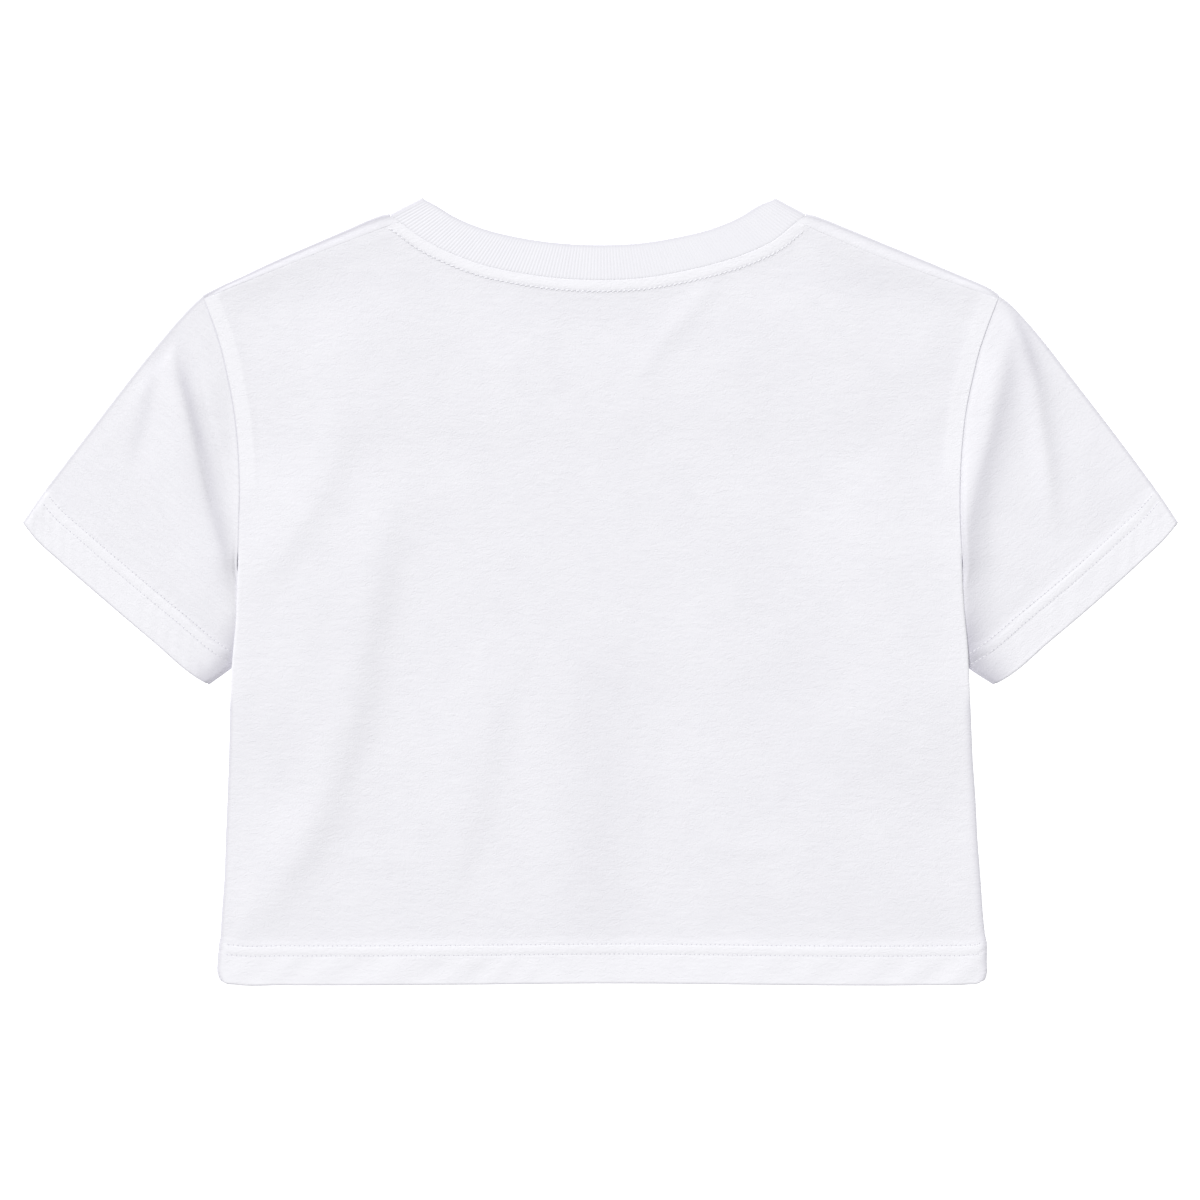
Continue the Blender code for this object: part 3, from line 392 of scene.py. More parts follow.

# Painted shade: where a hollow, a crease or a tucked corner is drawn greyer than the open cloth
BACK_SHADES = [
    Fold([(-206.0, 186.0), (-160.0, 194.0), (-118.0, 198.0), (-84.0, 190.0)], 0.16, 8.0, 9.0),
    Fold([(86.0, 196.0), (122.0, 198.0), (168.0, 196.0), (206.0, 186.0)], 0.2, 8.0, 10.0),
    Fold([(-86.0, 186.0), (-4.0, 177.0), (74.0, 186.0)], 0.1, 9.0, 10.0),
    Fold([(6.0, 170.0), (60.0, 164.0), (124.0, 172.0)], 0.13, 13.0, 13.0),
    Fold([(90.0, -30.0), (120.0, -90.0), (144.0, -160.0)], 0.1, 36.0, 36.0),
    Fold([(4.0, 10.0), (2.0, -100.0), (-2.0, -180.0), (-4.0, -262.0)], 0.13, 26.0, 26.0),
    Fold([(118.0, 40.0), (124.0, -20.0), (126.0, -80.0)], 0.1, 30.0, 30.0),
]
SLEEVE_SHADES = {
    "left": [
        Fold([(-269.0, 176.0), (-266.6, 146.0), (-264.8, 134.0), (-260.2, 119.0), (-255.4, 99.0),
              (-250.4, 79.0), (-246.4, 58.0), (-241.4, 38.0), (-236.6, 16.0), (-235.0, -14.0)],
             0.8, 3.8, 6.5, 1.5, 1.7),
        Fold([(-268.4, 150.0), (-265.6, 138.0), (-261.0, 119.0), (-256.0, 100.0), (-251.5, 80.0)],
             0.5, 2.2, 3.2),
        Fold([(-262.0, 116.0), (-254.0, 86.0), (-247.0, 56.0), (-242.0, 30.0), (-239.0, 4.0),
              (-237.0, -24.0)], 0.3, 15.0, 8.0, 1.3, 1.5),
        Fold([(-264.0, 190.0), (-273.0, 167.0), (-280.0, 150.0), (-285.6, 133.0), (-288.6, 116.0),
              (-293.6, 100.0), (-300.0, 80.0)], 0.34, 5.0, 5.0),
        Fold([(-220.0, -8.0), (-229.0, -38.0), (-243.0, -57.0), (-274.0, -64.0)],
             2.3, 11.0, 12.0, 1.3, 1.3),
    ],
    "right": [
        Fold([(270.0, 198.0), (263.0, 160.0), (257.8, 132.0), (253.4, 114.0), (249.6, 96.0),
              (243.8, 78.0), (239.6, 60.5), (235.6, 42.7), (234.2, 25.0), (234.0, 0.0),
              (235.0, -40.0), (236.0, -100.0)], 0.88, 5.0, 12.0, 1.6, 1.5),
        Fold([(262.0, 180.0), (268.0, 166.0), (273.0, 152.0), (278.6, 134.0), (281.6, 120.0),
              (285.0, 100.0), (289.0, 79.6), (293.4, 57.9)], 0.35, 4.0, 7.0, 1.8, 1.5),
        Fold([(244.0, 222.0), (262.0, 180.0), (267.6, 166.0), (272.0, 152.0), (277.0, 136.0),
              (281.0, 116.0)], 0.6, 3.5, 5.0, 1.8, 1.5),
        Fold([(220.0, -8.0), (229.0, -38.0), (239.0, -54.0), (270.0, -64.0)],
             2.3, 11.0, 12.0, 1.3, 1.3),
    ],
}

# Where the folds and the soft height die away: distances from an edge
FOLD_MARGIN = 4.0  # from an armhole seam
WIDE_MARGIN = 4 * FOLD_MARGIN
SEAM_CALM = 1.0  # they start this far from a sleeve's armhole seam
SIDE_CALM = 2.0  # and this far from a side of the body
TOP_CALM = (0.3, 6.0)
HEM_CALM = 20.0
CUFF_MARGIN = 40.0
SLEEVE_FOLD_FADE = (0.01, 0.07)  # shares of a sleeve's width at its folded edges
TUCK_FADE = (-5.0, 3.0)  # where a sleeve goes under the body
SEAM_RISE_FADE = (4.0, 26.0)  # above these heights a sleeve's seam is as high as the raised body
SEAM_RISE_RUN = 13.0
BULGE = 0.5  # share of that height to which a tucked sleeve bulges beside the body's edge
BULGE_RUN = (-1.7, 0.1)  # distances out from the body's edge over which the bulge rises
BULGE_CUFF = 6.0  # and the distance from the cuff over which it does
FOLD_SAMPLES = 31
FOLD_FADE = 0.3  # share of its length over which a fold rises at each end
LEAST_HEIGHT = -0.25  # no trough sinks the upper cloth further than this towards the layer below

# Where the back panel rises over the thicker neckband beneath it, and where both panels rise
# over the tucked corner of a sleeve: half sizes of the level top, then the run down from it.
NECK_PAD = {"half_width": 148.0, "foot": 118.0, "run": 36.0}
TUCK_PAD = {"height": -20.0, "half_height": 33.0, "half_width": 24.0, "run": 90.0}

# Flat sizes of the cut that shows: width and length, in metres
NECKBAND_CUT = {"flat": (0.66, 0.0219)}

# Colours of the finishes
JERSEY_WHITE = (0.880, 0.876, 0.913, 1.0)
JERSEY_SHADE = (0.812, 0.806, 0.847, 1.0)
# painted shade, mixed in by the turned mark
TURNED_SHADE = (0.60, 0.59, 0.65, 1.0)
RIB_WHITE = (0.876, 0.873, 0.909, 1.0)
RIB_SHADE = (0.846, 0.842, 0.888, 1.0)
THREAD_WHITE = (0.895, 0.892, 0.925, 1.0)
THREAD_SHADE = (0.850, 0.846, 0.885, 1.0)
# painted shade of the needle holes
HOLE_SHADE = (0.65, 0.64, 0.71, 1.0)
FLOOR_WHITE = (0.62, 0.62, 0.62, 1.0)
FLOOR_SHADE = (0.61, 0.61, 0.61, 1.0)
FLOOR_GLOW = 1.35

# How the cloth and the floor take light
CLOTH_SPECULAR = 0.2
JERSEY_SHEEN = 0.06
SHEEN_ROUGHNESS = 0.5
COTTON_ROUGHNESS = 0.86
ROUGHNESS_SPREAD = 0.1
THREAD_ROUGHNESS = 0.5
THREAD_ROUGHNESS_SPREAD = 0.2
FLOOR_ROUGHNESS = 0.9

# The finishes' patterns: scales are in a metre, stretches along and across the knit, turns in
# degrees, pitches and reliefs in millimetres, and tones are shares of a mix
Noise = namedtuple("Noise", "scale detail roughness distortion", defaults=(2.0, 0.5, 0.0))
SLUB = Noise(420.0, 3.0, 0.6, 0.4)
SLUB_STRETCH = (0.17, 1.0)
SLUB_TONE = 1.1
SLUB_RELIEF = 0.08
CRUMPLE = Noise(330.0, 3.0, 0.55, 2.0)
CRUMPLE_STRETCH = (0.62, 1.0)
CRUMPLE_TURN = -11.0
CRUMPLE_RELIEF = 0.3
CREASE = Noise(170.0, 3.0, 0.6, 1.2)
CREASE_PATCHES = Noise(60.0, 1.0)
CREASE_STRETCH = (0.4, 1.0)
CREASE_TURN = -12.0
CREASE_WIDTH = 0.04
CREASE_RELIEF = 0.075
MOTTLE = Noise(24.0)
MOTTLE_TONE = 0.5
FIBRES = Noise(1500.0, 2.0, 0.6, 1.0)
FIBRE_RELIEF = 0.03
WALE_PITCH = 0.75
COURSE_PITCH = 0.55
LOOP_RELIEF = 0.012
RIB_MOTTLE = Noise(90.0)
RIB_STRETCH = (1.0, 0.3)
SINGLE_TONE = 0.42
DOUBLED_AND_HIGHLIGHT_TONE = 0.52
PAINTED_SHADE_TONE = 0.5
THREAD_MOTTLE = Noise(300.0)
THREAD_TWIST = 0.5
THREAD_RELIEF = 0.04
FLOOR_MOTTLE = Noise(2.0)

# Studio
FRAME_WIDTH = 762.0  # of the view, where the cloth lies
FRAME_CENTRE_UP = -5.56
FRAME_PLANE = 3.0  # height of the cloth that the view's width is measured on
LENS = 100.0
SENSOR = 36.0
FLOOR_SIZE = 12.0
FLOOR_DROP = 0.3
WORLD_WHITE = (1.0, 1.0, 1.0, 1.0)
WORLD_STRENGTH = 0.54
KEY_PLACE = (-1.05, 1.6, 2.3)
KEY_SPREAD = 25.0
KEY_STRENGTH = 2.1


def table(rows, *columns):
    """Some named columns of a table, as an array."""
    return np.array([[getattr(row, column) for column in columns] for row in rows])


def plan_points(rows):
    return table(rows, "across", "up")


def smooth(knots, values, at):
    """A smooth curve through the values at the knots, read at other places."""
    slope = np.gradient(values, knots)
    first = np.clip(np.searchsorted(knots, at, side="right") - 1, 0, len(knots) - 2)
    run = knots[first + 1] - knots[first]
    t = np.clip((at - knots[first]) / run, 0.0, 1.0)
    rise = values[first + 1] - values[first]
    start, end = slope[first] * run, slope[first + 1] * run
    bow = (start - rise) * (1 - t) + (rise - end) * t
    return values[first] + t * rise + t * (1 - t) * bow


def along(curve, fractions):
    """Points at the given fractions of a curve's length."""
    steps = np.linalg.norm(np.diff(curve, axis=0), axis=1)
    length = np.concatenate([[0.0], np.cumsum(steps)])
    columns = [np.interp(fractions, length / length[-1], column) for column in curve.T]
    return np.stack(columns, axis=-1)


def route(points, count=CURVE_SAMPLES):
    """Evenly spaced points along a smooth curve through a table's points."""
    knots = np.concatenate([[0.0], np.cumsum(np.hypot(*np.diff(points, axis=0).T))])
    dense = np.linspace(0.0, knots[-1], count * OVERSAMPLE)
    curve = np.stack([smooth(knots, points[:, k], dense) for k in (0, 1)], axis=1)
    return along(curve, np.linspace(0.0, 1.0, count))


def right_of(curve):
    """Unit directions to a curve's right as it runs."""
    heading = np.gradient(curve, axis=0)
    heading /= np.hypot(*heading.T)[:, None]
    return np.stack([heading[:, 1], -heading[:, 0]], axis=1)


def shifted(curve, distance):
    """The curve moved sideways, to its right as it runs."""
    return curve + distance * right_of(curve)


def ramp(value, low, high):
    """0 up to low, 1 from high on, and a soft rise between."""
    t = np.clip((value - low) / (high - low), 0.0, 1.0)
    return t * t * (3 - 2 * t)


def taper(share, reach):
    """A soft rise over each end of a length, where the share along it is given."""
    return ramp(share, 0.0, reach) * ramp(1 - share, 0.0, reach)


def bell(distance, width=EDGE_LINE):
    """1 on a line, dying away beside it."""
    return np.exp(-((distance / width) ** 2))


def hump(share):
    """From 0 up to 1 and back, as the share goes from 0 to 1."""
    return np.sin(pi * np.clip(share, 0, 1))


def nearest(curve, x, y):
    """How far each place is from a curve, which side it is on, and the fraction along the curve."""
    away = np.full(np.shape(x), np.inf)
    side, along_it = np.zeros_like(away), np.zeros_like(away)
    for step, (start, run) in enumerate(zip(curve, np.diff(curve, axis=0))):
        dx, dy = x - start[0], y - start[1]
        t = np.clip((dx * run[0] + dy * run[1]) / (run @ run), 0.0, 1.0)
        distance = np.hypot(dx - t * run[0], dy - t * run[1])
        closer = distance < away
        away = np.where(closer, distance, away)
        side = np.where(closer, run[0] * dy - run[1] * dx, side)
        along_it = np.where(closer, (step + t) / (len(curve) - 1), along_it)
    return away, side, along_it


def distance_to(curve, x, y):
    return nearest(curve, x, y)[0]


def drift(x, y, size, seed):
    """Smooth uneven values from -1 to 1 that change over the given size."""
    corners = np.random.default_rng(seed).uniform(-1.0, 1.0, (LATTICE, LATTICE))
    across, up = x / size + LATTICE / 2, y / size + LATTICE / 2
    i, j = np.floor(across).astype(int), np.floor(up).astype(int)
    s, t = ramp(across - i, 0.0, 1.0), ramp(up - j, 0.0, 1.0)
    left, right = i % LATTICE, (i + 1) % LATTICE
    low, high = (
        (1 - s) * corners[left, row % LATTICE] + s * corners[right, row % LATTICE]
        for row in (j, j + 1)
    )
    return (1 - t) * low + t * high


def ripples(place, pitch, seed):
    """Uneven ripples from -1 to 1, about the given pitch apart along a line."""
    level = np.zeros_like(place)
    wander = RIPPLE_WANDER * drift(place, level, RIPPLE_WANDER_REACH * pitch, seed)
    swell = drift(place, level, RIPPLE_SWELL_REACH * pitch, seed + 1)
    return np.sin(2 * pi * place / pitch + wander) * (0.5 + 0.5 * swell)


def unevenness(x, y):
    return sum(height * drift(x, y, size, seed) for size, height, seed in DRIFTS)


def fold_height(folds, x, y):
    """What the soft folds add together at each place."""
    total = np.zeros_like(x)
    for fold in folds:
        away, side, share = nearest(route(np.array(fold.line), FOLD_SAMPLES), x, y)
        downwards = fold.line[-1][1] < fold.line[0][1]
        on_left = (side < 0) == downwards
        reach = np.where(on_left, fold.left_width, fold.right_width)
        power = np.where(on_left, fold.left_power, fold.right_power)
        total += fold.height * taper(share, FOLD_FADE) * np.exp(-((away / reach) ** power))
    return total


def body_side(side, up):
    """X of the side seam and armhole seam at a height."""
    rows = table(BODY_SIDES, "up", side)
    return smooth(rows[:, 0], rows[:, 1], up)


def from_sides(x, y):
    """How far in from the nearer side of the body each place is."""
    return np.minimum(x - body_side("left", y), body_side("right", y) - x)


def hem_height(x):
    rows = plan_points(HEM)
    return smooth(rows[:, 0], rows[:, 1], x)


def neck_pad(x, y):
    """1 where the neckband lies under the back panel, dying away round it."""
    run = NECK_PAD["run"]
    sideways = 1 - ramp(np.abs(x), NECK_PAD["half_width"], NECK_PAD["half_width"] + run)
    return sideways * ramp(y, NECK_PAD["foot"] - run, NECK_PAD["foot"])


def tuck_pad(x, y):
    """1 where a sleeve's corner is tucked between the panels, dying away round it."""
    sideways = np.maximum(from_sides(x, y) - TUCK_PAD["half_width"], 0)
    lengthways = np.maximum(np.abs(y - TUCK_PAD["height"]) - TUCK_PAD["half_height"], 0)
    return 1 - ramp(np.hypot(sideways, lengthways), 0, TUCK_PAD["run"])


def upper_underside(x, y):
    """Height of the underside of whatever lies on the front panel."""
    return LAYER + neck_pad(x, y) * (RIB_BAND - CLOTH)


def read(curve, fraction):
    """Points of a curve whose samples are evenly spread over its parameter."""
    knots = np.linspace(0.0, 1.0, len(curve))
    return np.stack([np.interp(fraction, knots, column) for column in curve.T], axis=-1)


def filled(bottom, top, left, right, u, v, side_reach=1.0):
    """Points inside four edge curves, at fractions u across and v up.

    The side edges' own shape dies away at side_reach of the way in from each.
    """
    a, b = u[..., None], v[..., None]
    plain = (1 - b) * read(bottom, u) + b * read(top, u)
    left_bow = read(left, v) - (1 - b) * left[0] - b * left[-1]
    right_bow = read(right, v) - (1 - b) * right[0] - b * right[-1]
    left_share = np.clip(1 - a / side_reach, 0, 1)
    right_share = np.clip(1 - (1 - a) / side_reach, 0, 1)
    return plain + left_share * left_bow + right_share * right_bow


def stations(breaks, counts):
    """Rising values through the breaks, with the given number of steps between each two."""
    runs = [np.linspace(a, b, n, endpoint=False) for a, b, n in zip(breaks, breaks[1:], counts)]
    return np.concatenate(runs + [[breaks[-1]]])


def even_steps(start, end, step):
    return np.linspace(start, end, round((end - start) / step) + 1)


def rounded(distance, width=EDGE_ROUND, least=EDGE_LEAST):
    """The share of the wall left at a distance from a turned edge."""
    inward = 1 - np.clip(distance / width, 0.0, 1.0)
    return least + (1 - least) * np.sqrt(1 - inward * inward)


def sewn(distance, least=SEAM_LEAST):
    """The share of the wall left beside a seam."""
    return rounded(distance, SEAM_ROUND, least)


def groove(distance, depth=GROOVE_DEPTH):
    return -depth * bell(distance, GROOVE_WIDTH)


def twin_grooves(depth):
    return sum(groove(depth - row) for row in TWIN_ROWS)


def tunnel(depth):
    """1 midway between the twin rows, by depth from the hem's edge."""
    lower, upper = TWIN_ROWS
    return hump((depth - lower) / (upper - lower))


def twin_stitched(depth, place, seed, ripple, ripple_pitch, slant):
    """Relief of a turned hem: its rise, tunnel, grooves and ripples, by depth from its edge."""
    lower, upper = TWIN_ROWS
    rise = HEM_RISE * (1 - ramp(depth, upper - STEP / 2, upper + HEM_STEP))
    slanting = ripple * hump(depth / lower) * ripples(place + slant * depth, ripple_pitch, seed)
    from_row = np.minimum(np.abs(depth - lower), np.abs(depth - upper))
    gathers = PUCKER * np.exp(-from_row / PUCKER_REACH) * ripples(place, PUCKER_PITCH, seed + 2)
    return rise + TUNNEL_RISE * tunnel(depth) + twin_grooves(depth) + slanting + gathers


def band_mark(distance, width, edge=STEP / 2):
    """A mark that is 1 within a width of a line."""
    return 1 - ramp(distance, width - edge / 2, width + edge / 2)


def hem_mark(depth):
    """The mark of a turned hem: doubled to its upper row, and thicker still between its rows."""
    return band_mark(depth, TWIN_ROWS[1]) + TUNNEL_TONE * tunnel(depth)


def only(piece):
    """Makes one piece the selected and active object."""
    bpy.ops.object.select_all(action="DESELECT")
    piece.select_set(True)
    bpy.context.view_layer.objects.active = piece


def edit(piece, action, **settings):
    """Runs one of the edit operators on the whole of a piece."""
    only(piece)
    bpy.ops.object.mode_set(mode="EDIT")
    bpy.ops.mesh.select_all(action="SELECT")
    action(**settings)
    bpy.ops.object.mode_set(mode="OBJECT")


def weld(piece):
    """Closes a wrapped grid: its doubled points become one."""
    edit(piece, bpy.ops.mesh.remove_doubles, threshold=WELD * MM)


def drop_points(piece, dropped):
    """Deletes the points of a net where the mask is true."""
    only(piece)
    bpy.ops.object.mode_set(mode="EDIT")
    bpy.ops.mesh.select_mode(type="VERT")
    bpy.ops.mesh.select_all(action="DESELECT")
    bpy.ops.object.mode_set(mode="OBJECT")
    piece.data.vertices.foreach_set("select", dropped.T.ravel())
    bpy.ops.object.mode_set(mode="EDIT")
    bpy.ops.mesh.delete(type="VERT")
    bpy.ops.object.mode_set(mode="OBJECT")


def add_mark(mesh, name, values):
    """Stores a value for each point, which a finish reads by its name."""
    mesh.attributes.new(name, "FLOAT", "POINT").data.foreach_set("value", values)


def grid_piece(name, net, course, marks):
    """A grid primitive moved onto a net of points, with its UV map along the knit's courses.

    The marks are what its finish is told of each point: doubled cloth and the painted highlight,
    and the painted shade at turned edges, seams and creases.
    """
    columns, rows = net.shape[0] - 1, net.shape[1] - 1
    bpy.ops.object.select_all(action="DESELECT")
    bpy.ops.mesh.primitive_grid_add(x_subdivisions=columns, y_subdivisions=rows, size=2)
    piece = bpy.context.object
    piece.name = piece.data.name = name
    mesh = piece.data
    mesh.vertices.foreach_set("co", (net.transpose(1, 0, 2) * MM).ravel())
    flat = (course.transpose(1, 0, 2) * MM).reshape(-1, 2)
    corner = np.empty(len(mesh.loops), np.int32)
    mesh.loops.foreach_get("vertex_index", corner)
    mesh.uv_layers.active.name = COURSE_MAP
    mesh.uv_layers.active.data.foreach_set("uv", flat[corner].ravel())
    for mark, values in marks.items():
        add_mark(mesh, mark, values.T.ravel())
    return piece


def cloth_shell(name, net, walls, course, marks, keep=None, closed=False):
    """A piece of cloth: a wall outside a net of points, which is its inner side."""
    piece = grid_piece(name, net, course, marks)
    group = piece.vertex_groups.new(name="wall")
    thickest = walls.max()
    for index, share in enumerate((walls.T / thickest).ravel()):
        group.add([index], share, "REPLACE")
    if keep is not None:
        drop_points(piece, ~keep)
    if closed:
        weld(piece)
    solidify = piece.modifiers.new("Wall", "SOLIDIFY")
    solidify.thickness = thickest * MM
    solidify.offset = 1.0
    solidify.vertex_group = group.name
    solidify.thickness_vertex_group = 0.0
    solidify.use_quality_normals = True
    only(piece)
    bpy.ops.object.modifier_apply(modifier="Wall")
    bpy.ops.object.shade_smooth_by_angle(angle=radians(CREASE_ANGLE))
    return piece


def turned_over(net, walls, course, marks):
    """The same cloth with its columns in the opposite order, so that its wall faces out."""
    marks = {mark: values[::-1] for mark, values in marks.items()}
    return net[::-1], walls[::-1], course[::-1], marks


def whole_back_neck():
    return route(plan_points(BACK_NECK_SEAM), NECK_SAMPLES)


def back_neck():
    """The back neck seam between the two shoulder seams."""
    seam = whole_back_neck()
    x = np.linspace(LEFT_SHOULDER_SEAM[-1].across, RIGHT_SHOULDER_SEAM[0].across, NECK_SAMPLES)
    return np.stack([x, np.interp(x, seam[:, 0], seam[:, 1])], axis=1)


def front_neck():
    return route(plan_points(FRONT_NECK_SEAM), NECK_SAMPLES)


def shoulder_seams():
    """Left and right shoulder seams, ending clear of the neckband."""
    neck = shifted(back_neck(), SEWN)
    left, right = plan_points(LEFT_SHOULDER_SEAM), plan_points(RIGHT_SHOULDER_SEAM)
    left[-1], right[0] = neck[0], neck[-1]
    return route(left, SHOULDER_SAMPLES), route(right, SHOULDER_SAMPLES)


def from_shoulder_seams(x, y):
    return np.min([distance_to(seam[::THIN // 2], x, y) for seam in shoulder_seams()], axis=0)


def top_edge(left_shoulder, neck, right_shoulder):
    """The three top edges joined, with the neck over the middle half."""
    shares = [0.0, NECK_START, 1 - NECK_START, 1.0]
    pieces = []
    for part, start, end in zip((left_shoulder, neck, right_shoulder), shares, shares[1:]):
        count = round((end - start) * TOP_EDGE_STEPS)
        pieces.append(along(part, np.linspace(0, 1, count + 1))[:-1])
    return np.concatenate(pieces + [right_shoulder[-1:]])


def panel_plan(edge, u, v):
    """Plan points of a body panel between the hem, the two sides and its top edge."""
    sides = []
    for side, top in (("left", edge[0, 1]), ("right", edge[-1, 1])):
        heights = np.linspace(BODY_SIDES[0].up, top, CURVE_SAMPLES)
        sides.append(np.stack([body_side(side, heights), heights], axis=1))
    hem_x = np.linspace(sides[0][0, 0], sides[1][0, 0], CURVE_SAMPLES)
    hem = np.stack([hem_x, hem_height(hem_x)], axis=1)
    return filled(hem, edge, *sides, u, v, NECK_START)


def panel_columns(beside, step):
    """Fractions across a panel: the given places beside each side edge, even steps between."""
    width = 2 * abs(BODY_SIDES[0].left)
    near = np.array(beside) / width
    shoulder = even_steps(near[-1], NECK_START, step / width)[1:]
    left_half = np.concatenate([near, shoulder])
    middle = even_steps(NECK_START, 1 - NECK_START, step / width)[1:-1]
    return np.concatenate([left_half, middle, 1 - left_half[::-1]])


def panel_rows(length, hem_lines, top_lines, step):
    """Fractions up each column: fixed distances from the hem and the top, even steps between."""
    even = even_steps(hem_lines[-1], UPPER_FROM, step)[1:]
    low = np.concatenate([hem_lines, even]) / length[:, None]
    high = 1 - np.array(top_lines) / length[:, None]
    longest = length.max() - UPPER_FROM - top_lines[0]
    between = np.linspace(0, 1, round(longest / step) + 1)[1:-1]
    middle = low[:, -1:] + between * (high[:, :1] - low[:, -1:])
    return np.concatenate([low, middle, high], axis=1)


def shoulder_lift(x, y):
    """How much the seam allowances lift the cloth beside the shoulder seams."""
    lift = np.zeros_like(x)
    for seam in shoulder_seams():
        away, _, share = nearest(seam[::THIN], x, y)
        lift += SHOULDER_LIFT * taper(share, SHOULDER_LIFT_ENDS) * bell(away, SHOULDER_LIFT_RUN)
    return lift


def neck_strip(away):
    """Height of the raised strip beside the back neck seam."""
    return NECK_STRIP_RISE * (1 - ramp(away, NECK_STRIP, NECK_STRIP + NECK_STRIP_STEP))


def back_neck_relief(x, y):
    """Relief outside the back neck seam: a raised strip, its topstitched groove and a soft lip."""
    away = distance_to(whole_back_neck()[::THIN], x, y)
    swell = STRIP_SWELL * hump(away / NECK_STRIP)
    lip = LIP_RISE * bell(away - NECK_STRIP - 2 * LIP_WIDTH, LIP_WIDTH)
    return neck_strip(away) + swell + groove(away - NECK_STRIP, NECK_GROOVE_DEPTH) + lip


def back_height(x, y, drop=0.0):
    """Height of the back panel's inner side."""
    left_seam, right_seam = shoulder_seams()
    top = np.concatenate([left_seam[::THIN], back_neck()[::2 * THIN], right_seam[::THIN]])
    from_top, from_side, depth = distance_to(top, x, y), from_sides(x, y), y - hem_height(x)
    loft = LOFT * ramp(from_side, SIDE_CALM, LOFT_RUN) * ramp(depth, 0, LOFT_HEM_RUN)
    loft = loft * ramp(from_top, TOP_CALM[1], LOFT_RUN)
    calm = ramp(from_side, SIDE_CALM, WIDE_MARGIN) * ramp(depth, 0, HEM_CALM)
    calm = calm * ramp(from_top, *TOP_CALM)
    roll = SIDE_ROLL * (1 - np.exp((body_side("left", y) - x) / SIDE_ROLL_RUN))
    roll = roll * (1 - ramp(y, *ARMHOLE_STRIP_FADE)) * ramp(depth, *SIDE_ROLL_HEM_FADE)
    lift = loft + roll + calm * (fold_height(BACK_FOLDS, x, y) + unevenness(x, y))
    under = upper_underside(x, y) + TUCK_RISE * tuck_pad(x, y) + shoulder_lift(x, y)
    return under + np.maximum(lift, LEAST_HEIGHT) - drop


def back_wall(x, y):
    """Thickness of the back panel's wall, with the relief of what is sewn along its edges."""
    from_side, depth = from_sides(x, y), y - hem_height(x)
    from_neck = distance_to(back_neck()[::THIN], x, y)
    outer = ARMHOLE_STRIP + ARMHOLE_STRIP_STEP
    strip = ARMHOLE_STRIP_RISE * (1 - ramp(from_side, ARMHOLE_STRIP - STEP, outer))
    strip = strip * ramp(y, *ARMHOLE_STRIP_FADE)
    neck = back_neck_relief(x, y)
    relief = np.where(np.abs(neck) > strip, neck, strip)
    relief = relief + twin_stitched(depth, x, HEM_SEED, *HEM_RIPPLES)
    edges = rounded(depth) * sewn(from_shoulder_seams(x, y), SHOULDER_SEAM_LEAST) * sewn(from_neck)
    edges = edges * (1 - ramp(y, *LIP_FADE) * (1 - sewn(from_side)))
    return (CLOTH + relief) * edges


def back_marks(x, y):
    """Where the back panel is doubled and whiter, with a painted highlight by its raised side
    edges, and where painted shade greys its turned edges, seams and hollows.
    """
    from_side, depth = from_sides(x, y), y - hem_height(x)
    from_neck = distance_to(whole_back_neck()[::2 * THIN], x, y)
    strip = band_mark(from_side, ARMHOLE_STRIP, ARMHOLE_STRIP_STEP) * ramp(y, *ARMHOLE_STRIP_FADE)
    strips = STRIP_TONE * np.maximum(strip, band_mark(from_neck, NECK_STRIP))
    # painted shade along each side edge, and a painted highlight beside it on the raised edges
    rolled, highlight = np.zeros_like(x), np.zeros_like(x)
    for side in SIDES:
        away = np.abs(x - body_side(side, y))
        rolled += SIDE_TONE[side] * bell(away, SIDE_LINE[side])
        highlight += EDGE_HIGHLIGHT * np.exp(-away / EDGE_HIGHLIGHT_RUN[side])
    highlight = highlight * ramp(y, *EDGE_HIGHLIGHT_FADE) * (1 - ramp(y, *EDGE_HIGHLIGHT_TOP))
    rolled = rolled * (1 - ramp(y, *SIDE_LINE_FADE))
    # painted shade along the armhole seam, the neck seam and the neck topstitching's groove
    armhole = SEAM_TONE * bell(np.where(ramp(y, *LIP_FADE) > 0, from_side, BODY_STEP), SEAM_LINE)
    neck_lines = NECK_SEAM_TONE * bell(from_neck, SEAM_LINE)
    neck_lines += NECK_ROW_TONE * bell(from_neck - NECK_STRIP, NECK_ROW_LINE)
    # painted shade: the turned mark greys edges, seams, neck lines and the hollows of BACK_SHADES
    turned = [bell(depth), rolled, armhole, neck_lines, fold_height(BACK_SHADES, x, y)]
    doubled = [hem_mark(depth), strips, highlight]
    return {"doubled": np.max(doubled, axis=0), "turned": np.max(turned, axis=0)}


